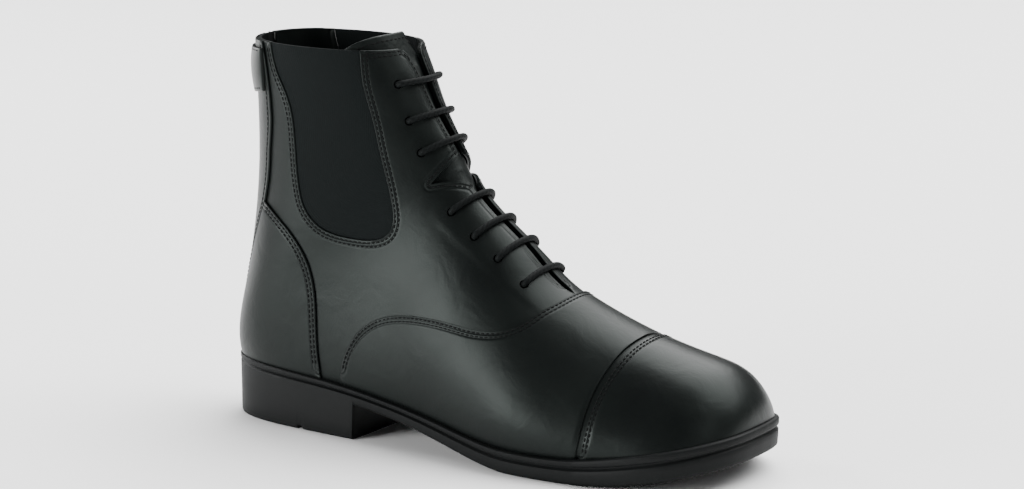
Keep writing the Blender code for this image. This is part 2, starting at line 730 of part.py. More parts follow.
def make_lace_bar(number, station):
    """A round cord over the facings whose ends turn down over the eyelets."""
    radius = LACE_DIAMETER / 2
    end_height, run_height = 3 * GAP, radius + 1.5 * GAP
    reach = front_angle(np.array([station]), EYELET_REACH)[0]
    turn = front_angle(np.array([station]), radius + GAP)[0]
    bends = np.radians((0, 30, 60, 90))
    run = np.linspace(reach - turn, 0, 5)[1:]
    angles = [*(reach - turn * (1 - np.cos(bends))), *run]
    heights = [*(end_height + (run_height - end_height) * np.sin(bends)),
               *([run_height] * len(run))]
    angles = np.array([-a for a in angles] + angles[-2::-1])
    heights = np.array(heights + heights[-2::-1])
    dip = 0.12 * np.cos(pi / 2 * angles / reach)
    path = skin(station - dip, angles, heights)
    return tube("lace_bar_%d" % number, path, radius, 6, ((0.008, 0.008, 0.009), 0.7))


def tube(name, path, radius, sides, finish):
    """A round bar along a path, with flat ends."""
    way = np.gradient(path, axis=0)
    way /= np.linalg.norm(way, axis=1, keepdims=True)
    fixed = np.array((0.6, 0.0, -0.8))
    turns = 2 * pi * (np.arange(sides) + 0.5) / sides
    rings = []
    for centre, axis in zip(path, way):
        across = np.cross(axis, fixed)
        across /= np.linalg.norm(across)
        other = np.cross(axis, across)
        ring = np.cos(turns)[:, None] * across + np.sin(turns)[:, None] * other
        rings.append(centre + radius * ring)
    points = np.concatenate(rings)
    faces = []
    for i in range(len(path) - 1):
        a, b = i * sides, (i + 1) * sides
        faces += [(a + k, a + (k + 1) % sides, b + (k + 1) % sides, b + k) for k in range(sides)]
    last_ring = (len(path) - 1) * sides
    faces += [tuple(range(sides)), tuple(range(last_ring, last_ring + sides))]
    return add_object(name, welded_mesh(name, points.tolist(), faces), finish)


# The sole and the insole: plates whose outline is the line where the upper meets them

def plan_outline(offset):
    """The two sides of the upper's foot line, heel to toe, as x and y."""
    toe_half = INSTEP_ROW * np.linspace(0, 1, 70)[:-1] ** 2
    heel_half = HEEL_SEAT - (HEEL_SEAT - INSTEP_ROW) * np.linspace(1, 0, 40) ** 2
    rows = fitted(np.concatenate([toe_half, heel_half]), offset, 0.0)
    sides = []
    for side in (-1, 1):
        angles = feather_angle(rows, side, offset, 0.0)
        angles[-1] = pi
        sides.append(skin(rows, side * angles, offset)[::-1, :2])
    return sides


def ring_of(offset, stations):
    """A closed ring of plan points at the stations' shares of the length, and normals.

    It runs along the lateral side from heel to toe and back along the medial side.
    """
    lateral, medial = plan_outline(offset)
    low, high = lateral[:, 0].min(), lateral[:, 0].max()
    x = low + (high - low) * np.asarray(stations)
    sides = []
    for line in (lateral, medial):
        order = np.argsort(line[:, 0])
        y = np.interp(x, line[order, 0], line[order, 1])
        sides.append(np.stack([x, y], -1))
    for end in (0, -1):
        middle = (sides[0][end] + sides[1][end]) / 2
        sides[0][end] = sides[1][end] = middle
    ring = np.concatenate([sides[0], sides[1][-2:0:-1]])
    way = np.roll(ring, -1, 0) - np.roll(ring, 1, 0)
    normal = np.stack([way[:, 1], -way[:, 0]], -1)
    return ring, normal / np.linalg.norm(normal, axis=1, keepdims=True)


def plate_mesh(name, levels, finish):
    """A closed solid from rings of points, top to bottom, closed by strips across."""
    count = len(levels[0])
    points = np.concatenate(levels).tolist()
    faces = []
    for k in range(len(levels) - 1):
        a, b = k * count, (k + 1) * count
        faces += [(a + i, a + (i + 1) % count, b + (i + 1) % count, b + i) for i in range(count)]
    half = count // 2
    for base in (0, (len(levels) - 1) * count):
        for i in range(half):
            mate, next_mate = (count - i) % count, count - i - 1
            strip = [base + i, base + i + 1, base + next_mate, base + mate]
            faces.append(tuple(dict.fromkeys(strip)))
    return add_object(name, welded_mesh(name, points, faces), finish)


def tread_grooves(length):
    """Shares of the length at which each cross groove's slopes begin and end."""
    heel = [0.058 + 0.058 * k for k in range(3)]
    fore = [0.610 + 0.058 * k for k in range(5)]
    width, slope = TREAD_WIDTH / length, TREAD_SLOPE / length
    return [(a, a + slope, a + width - slope, a + width) for a in heel + fore]


def make_outsole():
    """One moulded rubber unit: plate with a false welt, heel block and cross grooves."""
    lateral, _ = plan_outline(0.0)
    low, high = lateral[:, 0].min(), lateral[:, 0].max()
    length = high - low
    grooves = tread_grooves(length)
    breast = ((HEEL_LENGTH - low) / length, (HEEL_LENGTH + BREAST_SLANT - low) / length)
    ends = (0, 0.004, 0.014, 0.034)
    plain = (0.37, 0.44, 0.51, 0.57, 0.905, 0.94)
    slopes = [edge for groove in grooves for edge in groove]
    shares = np.array(sorted([*ends, *(1 - e for e in ends), *plain, *slopes, *breast]))
    ring, normal = ring_of(0.0, shares)
    along = np.concatenate([shares, shares[-2:0:-1]])
    x = ring[:, 0]
    ledge = SOLE_LEDGE * np.clip(0.5 + 0.5 * (x - low) / HEEL_LENGTH, 0.5, 1)
    top, plate_under = sole_top(x), sole_under(x)
    near = 0.1 * TREAD_SLOPE / length
    floor = np.where(along < breast[1] - near, 0.0, plate_under)
    for _, deep_start, deep_end, _ in grooves:
        deep = (along > deep_start - near) & (along < deep_end + near)
        floor = np.where(deep, floor + TREAD_DEPTH, floor)
    levels = []
    for drop, inset in SOLE_SIDE:
        levels.append(level(ring, normal, ledge * (1 - inset), top - drop * (top - plate_under)))
    levels.append(level(ring, normal, ledge * (1 - SOLE_FOOT_INSET), floor + TREAD_EDGE_RISE))
    levels.append(level(ring, normal, ledge * (1 - TREAD_EDGE_INSET), floor))
    return plate_mesh("outsole", levels, ((0.010, 0.010, 0.010), 0.6))


def level(ring, normal, out, z):
    """A ring moved out by a distance at each point, at its own heights."""
    plan = ring + normal * np.asarray(out)[:, None]
    return np.column_stack([plan, z])


def make_insole():
    shares = (0, 0.004, 0.016, 0.04, 0.08, 0.14, 0.22, 0.32, 0.42, 0.52, 0.62, 0.72, 0.80, 0.87,
              0.92, 0.96, 0.984, 0.996, 1)
    ring, normal = ring_of(-WALL - INSOLE_PLAY, shares)
    low = sole_top(ring[:, 0]) + GAP
    flush = np.zeros(len(ring))
    levels = [level(ring, normal, flush, low + INSOLE_THICKNESS), level(ring, normal, flush, low)]
    return plate_mesh("insole", levels, ((0.030, 0.030, 0.031), 0.9))


make_outsole()
make_insole()
make_upper()
make_vamp()
make_toe_cap()
make_counters(counter_pattern())
make_heel_patch()
make_back_strips()
make_zip()
make_flap()
make_gores()
make_tongue()
for number, station in enumerate(LACE_STATIONS, 1):
    make_lace_bar(number, station)
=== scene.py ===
# Lace-up paddock boot, the right one of a pair: black leather, elastic side gores, back zip.
# Metres, toe along +X, medial side along +Y, floor at z = 0, origin under the heel's middle.
import math

import bmesh
import bpy
import numpy as np
from mathutils import Matrix


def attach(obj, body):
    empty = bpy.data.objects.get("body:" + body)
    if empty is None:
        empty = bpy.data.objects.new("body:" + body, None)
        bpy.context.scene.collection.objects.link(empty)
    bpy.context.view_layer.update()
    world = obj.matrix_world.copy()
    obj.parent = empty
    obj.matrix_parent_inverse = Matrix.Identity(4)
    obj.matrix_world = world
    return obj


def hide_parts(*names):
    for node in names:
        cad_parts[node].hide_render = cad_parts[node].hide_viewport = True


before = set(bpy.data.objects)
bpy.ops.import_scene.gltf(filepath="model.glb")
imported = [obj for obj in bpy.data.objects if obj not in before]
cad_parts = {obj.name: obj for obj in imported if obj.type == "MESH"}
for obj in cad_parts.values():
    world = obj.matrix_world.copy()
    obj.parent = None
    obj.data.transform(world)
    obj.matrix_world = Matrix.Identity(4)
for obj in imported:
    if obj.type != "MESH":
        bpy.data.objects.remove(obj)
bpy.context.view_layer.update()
mm = 0.001
pi = math.pi

# The last: slanting sections from toe to instep, then up the shaft to above the collar.
# Each row: front x, front z, back x, back z, lateral and medial half width, skew, full, y.
lastShape = {
    "length": 290 * mm, "ballWidth": 92 * mm, "instepHeight": 128.5 * mm, "shaftRise": 68.5 * mm,
    "shaftWidth": 63 * mm, "heelSeat": 40.5 * mm,      # heel's back to the origin
    "foot": (
        (0.996, 0.187, 0.988, 0.109, 0.095, 0.095, -0.10, 0.10, 0.096),
        (0.990, 0.288, 0.976, 0.047, 0.272, 0.261, -0.20, 0.15, 0.096),
        (0.955, 0.385, 0.938, 0.016, 0.402, 0.391, -0.30, 0.20, 0.090),
        (0.903, 0.434, 0.876, 0.000, 0.476, 0.454, -0.35, 0.22, 0.080),
        (0.792, 0.505, 0.779, -0.023, 0.500, 0.466, -0.38, 0.20, 0.053),
        (0.648, 0.644, 0.655, -0.039, 0.522, 0.478, -0.38, 0.15, 0.027),
        (0.582, 0.774, 0.517, -0.047, 0.465, 0.420, -0.30, 0.10, 0.006),
        (0.526, 0.887, 0.345, -0.047, 0.405, 0.370, -0.12, 0.06, -0.011),
        (0.471, 1.000, 0.155, -0.031, 0.360, 0.350, -0.16, 0.22, -0.005)),
    "shaft": (                                          # front z here is a share of the rise
        (0.437, 0.241, -0.002, 0.112, 0.500, 0.508, -0.20, 0.30),
        (0.408, 0.431, 0.002, 0.335, 0.495, 0.505, -0.12, 0.25),
        (0.380, 0.628, 0.026, 0.558, 0.492, 0.500, -0.03, 0.20),
        (0.357, 0.825, 0.033, 0.761, 0.500, 0.500, 0.03, 0.20),
        (0.334, 1.000, 0.029, 1.000, 0.508, 0.508, 0.03, 0.20),
        (0.313, 1.219, 0.028, 1.076, 0.513, 0.513, 0.03, 0.20))}
length, collarHeight = lastShape["length"], lastShape["instepHeight"] + lastShape["shaftRise"]
instepRow = len(lastShape["foot"]) - 1
collarRow = instepRow + len(lastShape["shaft"]) - 1


def naturalCurve(knots, values):
    # Natural cubic curve through the rows: bends solve the usual tridiagonal system.
    knots, values = np.asarray(knots, float), np.asarray(values, float)
    values = values.reshape(len(knots), -1)
    step = np.diff(knots)
    inner = np.arange(1, len(knots) - 1)
    matrix, right = np.eye(len(knots)), np.zeros(values.shape)
    matrix[inner, inner - 1], matrix[inner, inner + 1] = step[:-1], step[1:]
    matrix[inner, inner] = 2 * (step[:-1] + step[1:])
    slope = np.diff(values, axis=0) / step[:, None]
    right[inner] = 6 * np.diff(slope, axis=0)
    bends = np.linalg.solve(matrix, right)

    def at(where):
        where = np.asarray(where, float)
        k = np.clip(np.searchsorted(knots, where) - 1, 0, len(knots) - 2)
        a = ((knots[k + 1] - where) / step[k])[..., None]
        b = 1 - a
        bow = ((a**3 - a) * bends[k] + (b**3 - b) * bends[k + 1]) / 6 * (step[k]**2)[..., None]
        return np.moveaxis(a * values[k] + b * values[k + 1] + bow, -1, 0)
    return at


def sectionRows():
    # Both tables in metres, each column times the size it is a share of.
    foot = np.array(lastShape["foot"]) * (length, lastShape["instepHeight"], length, lastShape["instepHeight"],
                                          *[lastShape["ballWidth"]] * 2, 1, 1, lastShape["ballWidth"])
    shaft = np.array(lastShape["shaft"]) * (length, lastShape["shaftRise"], length, collarHeight,
                                            *[lastShape["shaftWidth"]] * 2, 1, 1)
    shaft[:, 1] += lastShape["instepHeight"]
    return np.vstack([foot, np.column_stack([shaft, np.zeros(len(shaft))])])


last = naturalCurve(np.arange(collarRow + 2), sectionRows())

sole = {
    "heelHeight": 20 * mm, "heelLength": 81 * mm, "breastSlant": 3 * mm, "toeSpring": 13 * mm,
    "thickness": 12 * mm, "ledge": 3.6 * mm, "flatSink": 0.3 * mm, "grooveDepth": 1.6 * mm,
    "grooveWidth": 4.0 * mm, "grooveSlope": 0.8 * mm, "sunk": 1.4 * mm,  # leather runs down into the rubber
    # x of the length, arch of the heel height, spring of the toe spring, share of the thickness
    "stations": ((-0.020, 1.09, 0.00, 0.83), (0.138, 1.02, 0.00, 0.80), (0.293, 0.90, 0.00, 0.71),
                 (0.345, 0.80, 0.00, 0.69), (0.448, 0.50, 0.00, 0.78), (0.552, 0.16, 0.00, 0.90),
                 (0.610, 0.03, 0.00, 0.96), (0.665, 0.00, 0.00, 1.00), (0.745, 0.00, 0.00, 1.06),
                 (0.828, 0.00, 0.16, 1.20), (0.914, 0.00, 0.52, 1.24), (1.000, 0.00, 1.00, 1.22),
                 (1.040, 0.00, 1.25, 1.22)),
    # the side from the top edge down: share of the plate's thickness, inset as a share of the ledge
    "side": ((0.000, 0.50), (0.010, 0.28), (0.030, 0.10), (0.065, 0.00), (0.220, 0.00), (0.255, 0.05),
             (0.280, 0.20), (0.300, 0.40), (0.350, 0.44), (0.385, 0.34), (0.410, 0.14), (0.440, 0.06),
             (0.600, 0.08))}


def plateLevels():
    # Underside and top of the plate as smooth curves of x.
    rows = np.array(sole["stations"])
    under = rows[:, 1] * sole["heelHeight"] + rows[:, 2] * sole["toeSpring"]
    return naturalCurve(rows[:, 0] * length, np.column_stack([under, under + rows[:, 3] * sole["thickness"]]))


plate = plateLevels()


def lastPoint(station, angle):
    # Ellipse-like section in its slanting plane: angle 0 is the front line, pi the back one;
    # y = middle + half width * sin(angle) * (1 + skew * cos + full * cos^2); medial is positive.
    fx, fz, bx, bz, lateral, medial, skew, full, middle = last(station)
    share = (1 - np.cos(angle)) / 2
    half = np.where(np.sin(angle) < 0, lateral, medial)
    y = middle + half * np.sin(angle) * (1 + skew * np.cos(angle) + full * np.cos(angle)**2)
    return np.stack(np.broadcast_arrays(fx + (bx - fx) * share, y, fz + (bz - fz) * share), -1)


def lastTangents(station, angle, step=0.002):
    # Central differences round the section and along the stations.
    roundWay = (lastPoint(station, angle + step) - lastPoint(station, angle - step)) / (2 * step)
    along = (lastPoint(station + step, angle) - lastPoint(station - step, angle)) / (2 * step)
    return roundWay, along


def lastNormal(station, angle):
    # Unit cross product of the two tangents, pointing out of the boot.
    roundWay, along = lastTangents(station, angle)
    normal = np.cross(roundWay, along)
    return normal / np.linalg.norm(normal, axis=-1, keepdims=True)


def skinPoint(station, angle, offset=0.0):
    # A point of the last moved out along its normal.
    station, angle, offset = np.broadcast_arrays(*(np.asarray(v, float) for v in (station, angle, offset)))
    return lastPoint(station, angle) + lastNormal(station, angle) * offset[..., None]


featherCurves = {}


def featherAngle(stations, side, offset, lift):
    # Angle at which a section meets the sole's top plus a lift, read from a finely stepped
    # curve that is worked out once for each side, offset and lift.
    key = (side, round(offset / mm, 4), lift)
    if key not in featherCurves:
        rows = np.r_[np.linspace(0, 0.6, 500)[:-1], np.linspace(0.6, 8.9, 500)[:-1], np.linspace(8.9, 9.6, 400),
                     collarRow]
        featherCurves[key] = rows, meetingAngle(rows, side, offset, lift)
    return np.interp(stations, *featherCurves[key])


def meetingAngle(stations, side, offset, lift):
    # Where each section first drops below the sole's top plus a lift; pi if it never does.
    samples = np.linspace(0, pi, 361)
    points = skinPoint(stations[:, None], side * samples[None, :], offset)
    height = points[..., 2] - plate(points[..., 0])[1] - lift
    first = np.argmax(height < 0, axis=1)
    row = np.arange(len(first))
    before, after = height[row, first - 1], height[row, first]
    part = before / np.where(before == after, 1, before - after)
    angle = samples[np.maximum(first - 1, 0)] + samples[1] * part
    return np.where((height < 0).any(axis=1), np.where(first == 0, 0.0, angle), pi)


def lineCrossing(angle, low, high, offset, lift):
    # Station at which the front or the back line rises past the sole's top plus a lift.
    samples = np.linspace(low, high, 1201)
    points = skinPoint(samples, angle, offset)
    height = points[:, 2] - plate(points[:, 0])[1] - lift
    k = int(np.argmax(height > 0))
    return samples[k] - (samples[1] - samples[0]) * height[k] / (height[k] - height[k - 1])


def frontAngle(stations, reach):
    # Angle at which a section, near its front, is this far from the middle line: the arc's sine.
    rows = last(stations)
    return np.arcsin(np.clip(reach / (rows[4] * (1 + rows[6] + rows[7])), 0, 1))


def backAngle(stations, reach):
    # The same near its back.
    rows = last(stations)
    return pi - np.arcsin(np.clip(reach / (rows[4] * (1 - rows[6] + rows[7])), 0, 1))


def backStation(height):
    # Station whose back point stands at this height.
    samples = np.linspace(instepRow + 1, collarRow + 1, 801)
    return float(np.interp(height, last(samples)[3], samples))


def seamOnLast(table, count=400, share=(length, collarHeight)):
    # A seam drawn from the side, as stations and angles: each point lies on the one slanting
    # plane that passes through it, and its share from front to back gives the angle.
    points = np.array(table) * share
    run = np.r_[0, np.cumsum(np.hypot(*np.diff(points, axis=0).T))]
    x, z = naturalCurve(run, points)(np.linspace(0, run[-1], count))
    samples = np.linspace(0, collarRow + 1, 2801)
    fx, fz, bx, bz = last(samples)[:4]
    cross = (x[:, None] - fx) * (bz - fz) - (z[:, None] - fz) * (bx - fx)
    shares = ((x[:, None] - fx) * (bx - fx) + (z[:, None] - fz) * (bz - fz)) / ((bx - fx)**2 + (bz - fz)**2)
    change = (cross[:, :-1] * cross[:, 1:] <= 0) & (shares[:, 1:] > -0.25) & (shares[:, 1:] < 1.1)
    k, row = np.argmax(change, axis=1), np.arange(count)
    t = cross[row, k] / (cross[row, k] - cross[row, k + 1])
    station = samples[k] + t * samples[1]
    share = shares[row, k] * (1 - t) + shares[row, k + 1] * t
    keep = change.any(axis=1)
    return station[keep], share[keep]


def shareAngle(share):
    # The angle whose share from the front line to the back one is given.
    return np.arccos(np.clip(1 - 2 * share, -1, 1))


def resampled(line, count):
    # The same line with even steps along its length.
    line = np.asarray(line, float)
    run = np.r_[0, np.cumsum(np.linalg.norm(np.diff(line[:, -3:], axis=0), axis=1))]
    at = np.linspace(0, run[-1], count)
    return np.column_stack([np.interp(at, run, column) for column in line.T])


# Pieces as grids over the last: a patch holds stations and signed angles, rows by columns


def patch(stations, angles, side, low=True, high=True, openFirst=True, openLast=True):
    # Open sides are free edges; the lateral side is turned so that its faces look outward.
    stations, angles = np.broadcast_arrays(np.asarray(stations, float), np.asarray(angles, float))
    rows = angles.shape[0]
    low, high = (np.broadcast_to(np.asarray(v, bool), rows) for v in (low, high))
    part = {"s": stations, "a": angles, "low": low, "high": high, "first": openFirst, "last": openLast}
    if side < 0:
        part.update({"s": stations[:, ::-1], "a": -angles[:, ::-1], "low": high, "high": low})
    return part


def quads(index):
    # The four corners of every cell of a grid of indices.
    return np.stack([index[:-1, :-1], index[:-1, 1:], index[1:, 1:], index[1:, :-1]], -1).reshape(-1, 4)


def ringQuads(levels, count):
    # The same for closed rings stacked one above the other.
    index = np.arange(levels * count).reshape(levels, count)
    return quads(np.concatenate([index, index[:, :1]], axis=1))


def rim(line, count):
    # Faces between a free edge outside and the same edge inside.
    return np.stack([line[:-1], line[1:], line[1:] + count, line[:-1] + count], -1)


def shellMesh(name, patches, low, high, rounding):
    # Outer and inner faces with rims between them; free edges are eased by the rounding.
    points, faces, start = [], [], 0
    for part in patches:
        s, a = part["s"], part["a"]
        rise = np.zeros(a.shape)
        rise[part["low"], 0] = rise[part["high"], -1] = -rounding
        if part["first"]:
            rise[0] = -rounding
        if part["last"]:
            rise[-1] = -rounding
        outer = skinPoint(s, a, part.get("outer", high) + rise)
        inner = skinPoint(s, a, part.get("inner", low))
        index = start + np.arange(a.size).reshape(a.shape)
        points += [outer.reshape(-1, 3), inner.reshape(-1, 3)]
        faces += [quads(index), quads(index)[:, ::-1] + a.size]
        edges = [(index[:, 0], part["low"], False), (index[:, -1], part["high"], True)]
        for line, isOpen, flip in edges:
            strip = rim(line, a.size)[isOpen[:-1] | isOpen[1:]]
            faces.append(strip[:, ::-1] if flip else strip)
        if part["first"]:
            faces.append(rim(index[0], a.size)[:, ::-1])
        if part["last"]:
            faces.append(rim(index[-1], a.size))
        start += 2 * a.size
    return meshObject(name, np.concatenate(points), np.concatenate(faces).tolist())


def linkedObject(name, data):
    piece = bpy.data.objects.new(name, data)
    bpy.context.scene.collection.objects.link(piece)
    return piece


def bootMesh(name, points, faces):
    # Boot coordinates become the frame's: x is counted from the heel seat's middle.
    mesh = bpy.data.meshes.new(name)
    mesh.from_pydata((points - (lastShape["heelSeat"], 0, 0)).tolist(), [], faces)
    return mesh


def meshObject(name, points, faces, weld=0.02 * mm):
    # A closed piece: close points are merged first, then its faces are turned outward.
    mesh = bootMesh(name, points, faces)
    body = bmesh.new()
    body.from_mesh(mesh)
    if weld:
        bmesh.ops.remove_doubles(body, verts=body.verts, dist=weld)
    bmesh.ops.recalc_face_normals(body, faces=body.faces)
    body.to_mesh(mesh)
    body.free()
    return linkedObject(name, mesh)


def dress(piece, material, nodes=(), sharp=58):
    # Material, shading and its body; the solids of the frame that it stands for are hidden.
    piece.data.materials.append(material)
    piece.data.shade_smooth()
    piece.data.set_sharp_from_angle(angle=math.radians(sharp))
    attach(piece, "root")
    if nodes:
        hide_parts(*nodes)
    return piece


def edgeShares(count, width, ease):
    # Even shares from 0 to 1 for each row, with one more line close inside both ends.
    near = np.clip(ease / np.maximum(np.asarray(width, float), 1e-6), 1e-4, 0.2)[:, None]
    even = np.linspace(0, 1, count)[None, :]
    middle = near + (1 - 2 * near) * even
    return np.concatenate([0 * near, middle, 0 * near + 1], axis=1)


def rowWidth(stations, low, high):
    # Length of each row's arc between two angles.
    angles = low[:, None] + (high - low)[:, None] * np.linspace(0, 1, 25)
    return np.linalg.norm(np.diff(lastPoint(stations[:, None], angles), axis=1), axis=-1).sum(axis=1)


def markDistance(piece, lines):
    # Attribute "edge": distance of every point from the nearest of some lines, in millimetres.
    count = len(piece.data.vertices)
    places = np.empty(count * 3)
    piece.data.vertices.foreach_get("co", places)
    places = places.reshape(-1, 3) + (lastShape["heelSeat"], 0, 0)
    line = np.concatenate(lines)
    squares = (places**2).sum(1)[:, None] + (line**2).sum(1)[None, :] - 2 * places @ line.T
    gap = np.sqrt(np.maximum(squares.min(axis=1), 0)) / mm
    layer = piece.data.attributes.new("edge", "FLOAT", "POINT")
    layer.data.foreach_set("value", gap.astype(np.float32))


def shiftedOnLast(station, angle, distance):
    # Moves a line over the surface to its left by a distance, through the surface's own
    # two directions: the two-by-two least squares step is taken in two halves.
    for _ in range(2):
        place = lastPoint(station, angle)
        way = np.gradient(place, axis=0)
        way /= np.linalg.norm(way, axis=1, keepdims=True)
        left = np.cross(lastNormal(station, angle), way)
        across, along = lastTangents(station, angle)
        aa, ab, bb = (across * across).sum(-1), (across * along).sum(-1), (along * along).sum(-1)
        ra, rb = (across * left).sum(-1), (along * left).sum(-1)
        det = aa * bb - ab * ab
        half = distance / 2
        angle = angle + half * (ra * bb - rb * ab) / det
        station = station + half * (rb * aa - ra * ab) / det
    return station, angle


# Colours and materials


def hexColor(code):
    # sRGB hex to linear.
    parts = np.array([int(code[k:k + 2], 16) for k in (1, 3, 5)]) / 255
    linear = np.where(parts <= 0.04045, parts / 12.92, ((parts + 0.055) / 1.055)**2.4)
    return (*map(float, linear), 1.0)


def addNode(tree, kind, settings=None, links=None):
    # One node with its properties and sockets set, and its inputs linked.
    node = tree.nodes.new(kind)
    for name, value in (settings or {}).items():
        if isinstance(name, str) and hasattr(node, name):
            setattr(node, name, value)
        else:
            node.inputs[name].default_value = value
    for name, source in (links or {}).items():
        tree.links.new(source, node.inputs[name])
    return node


def newMaterial(name, color, roughness, ior, **constants):
    # A shader with its constants on its own sockets; an underscore stands for a space.
    material = bpy.data.materials.new(name)
    material.use_nodes = True
    tree = material.node_tree
    shader = tree.nodes["Principled BSDF"]
    shader.inputs["Base Color"].default_value = hexColor(color)
    shader.inputs["Roughness"].default_value = roughness
    shader.inputs["IOR"].default_value = ior
    for socket, value in constants.items():
        shader.inputs[socket.replace("_", " ")].default_value = value
    return material, tree, shader


def smoothLeather(name, look):
    # Corrected-grain calf leather, dyed through, pressed with a fine pore and finished with a
    # thin acrylic: nearly black, with broad soft highlights and slightly darker stitch troughs.
    material, tree, shader = newMaterial(name, look["color"], look["roughness"], 1.5, Coat_Weight=look["coat"],
                                         Coat_Roughness=0.30, Specular_Tint=hexColor("#e4f2ec"),
                                         Specular_IOR_Level=look["specular"])
    place = addNode(tree, "ShaderNodeTexCoord").outputs["Object"]
    mottle = addNode(tree, "ShaderNodeTexNoise", {"Scale": 1 / (look["mottle"] * mm), "Detail": 3.0},
                     {"Vector": place}).outputs["Fac"]
    pores = addNode(tree, "ShaderNodeTexVoronoi", {"Scale": 1 / (look["grain"] * mm), "Randomness": 1.0},
                    {"Vector": place}).outputs["Distance"]
    creases = addNode(tree, "ShaderNodeTexNoise", {"Scale": 1 / (look["crease"] * mm), "Detail": 4.0,
                                                   "Distortion": 0.6}, {"Vector": place}).outputs["Fac"]
    limits = {"To Min": look["roughness"] - 0.05, "To Max": look["roughness"] + 0.07}
    rough = addNode(tree, "ShaderNodeMapRange", limits, {"Value": mottle}).outputs[0]
    tree.links.new(rough, shader.inputs["Roughness"])
    tint = addNode(tree, "ShaderNodeValToRGB", None, {"Fac": mottle})
    tint.color_ramp.elements[0].position, tint.color_ramp.elements[1].position = 0.3, 0.75
    tint.color_ramp.elements[0].color = hexColor(look["color"])
    tint.color_ramp.elements[1].color = hexColor(look["light"])
    tree.links.new(tint.outputs[0], shader.inputs["Base Color"])
    height = addNode(tree, "ShaderNodeBump", {"Distance": 0.05 * mm, "Strength": look["grainDepth"]},
                     {"Height": pores})
    waves = addNode(tree, "ShaderNodeBump", {"Distance": 1.0 * mm, "Strength": look["creaseDepth"]},
                    {"Height": creases, "Normal": height.outputs[0]})
    normal = waves.outputs[0]
    if look["rows"]:
        # Needle troughs: the leather is drawn down along each stitch row beside the edge.
        edge = addNode(tree, "ShaderNodeAttribute", {"attribute_name": "edge"}).outputs["Fac"]
        total = None
        for row in look["rows"]:
            gap = addNode(tree, "ShaderNodeMath", {"operation": "SUBTRACT", 1: row}, {0: edge}).outputs[0]
            square = addNode(tree, "ShaderNodeMath", {"operation": "MULTIPLY"}, {0: gap, 1: gap}).outputs[0]
            bell = addNode(tree, "ShaderNodeMath", {"operation": "MULTIPLY", 1: -1 / look["trough"]**2},
                           {0: square}).outputs[0]
            dip = addNode(tree, "ShaderNodeMath", {"operation": "EXPONENT"}, {0: bell}).outputs[0]
            if total is not None:
                dip = addNode(tree, "ShaderNodeMath", {"operation": "ADD"}, {0: total, 1: dip}).outputs[0]
            total = dip
        dent = {"Distance": look["troughDepth"] * mm, "Strength": 1.0, "invert": True}
        normal = addNode(tree, "ShaderNodeBump", dent, {"Height": total, "Normal": normal}).outputs[0]
    tree.links.new(normal, shader.inputs["Normal"])
    return material


# Sizes in mm. Real pores are about 0.2 mm wide and are drawn at 0.9 so that they show.
# rows: stitch rows' distances from the piece's edge; trough: half width of the dip along each.
leatherLook = {"color": "#0a0c0c", "light": "#0e1110", "roughness": 0.40, "coat": 0.0, "mottle": 38.0,
               "grain": 0.9, "grainDepth": 0.25, "crease": 16.0, "creaseDepth": 0.35, "specular": 0.15,
               "rows": (1.4, 3.4), "trough": 0.75, "troughDepth": 0.25}
quarterLeather = smoothLeather("calf_leather_quarter", leatherLook)
vampLeather = smoothLeather("calf_leather_vamp", leatherLook)
capLeather = smoothLeather("calf_leather_cap", {**leatherLook, "roughness": 0.36, "rows": (1.1, 2.8)})
counterLeather = smoothLeather("calf_leather_counter", {**leatherLook, "rows": (1.6, 3.6)})
backLeather = smoothLeather("calf_leather_back", {**leatherLook, "rows": (1.5,)})
flapLeather = smoothLeather("patent_finished_leather_flap", {**leatherLook, "roughness": 0.34, "coat": 0.1,
                                                             "rows": (2.2,)})
tongueLeather = smoothLeather("soft_tongue_leather", {**leatherLook, "roughness": 0.42, "crease": 9.0,
                                                      "creaseDepth": 0.6, "rows": (3.0,)})


def wovenMaterial(name, look):
    # Woven or braided yarn: fuzzy and matte, its ribs drawn by a wave along the piece's own map. The grooves
    # between the ribs get a darker colour as painted shade.
    material, tree, shader = newMaterial(name, look["color"], look["roughness"], 1.5,
                                         Sheen_Weight=look["sheen"], Sheen_Roughness=0.5,
                                         Specular_IOR_Level=look["specular"])
    uv = addNode(tree, "ShaderNodeUVMap", {"uv_map": "map"}).outputs[0]
    rib = addNode(tree, "ShaderNodeTexWave", {"wave_type": "BANDS", "bands_direction": look["across"],
                                              "Scale": 2 * pi / (20 * look["pitch"] * mm),
                                              "Distortion": 0.4, "Detail": 1.0}, {"Vector": uv}).outputs["Fac"]
    pick = addNode(tree, "ShaderNodeTexNoise", {"Scale": 1 / (0.9 * mm), "Detail": 2.0},
                   {"Vector": uv}).outputs["Fac"]
    loose = addNode(tree, "ShaderNodeMath", {"operation": "MULTIPLY", 1: 0.6}, {0: pick}).outputs[0]
    both = addNode(tree, "ShaderNodeMath", {"operation": "ADD"}, {0: rib, 1: loose}).outputs[0]
    # Painted shade: the colour runs from the darker groove colour in the ribs' low parts to the yarn's own
    # colour on their crests.
    tint = addNode(tree, "ShaderNodeValToRGB", None, {"Fac": rib})
    tint.color_ramp.elements[0].color = hexColor(look["grooveShade"])
    tint.color_ramp.elements[1].color = hexColor(look["color"])
    tree.links.new(tint.outputs[0], shader.inputs["Base Color"])
    bump = addNode(tree, "ShaderNodeBump", {"Distance": look["depth"] * mm, "Strength": 1.0}, {"Height": both})
    tree.links.new(bump.outputs[0], shader.inputs["Normal"])
    return material
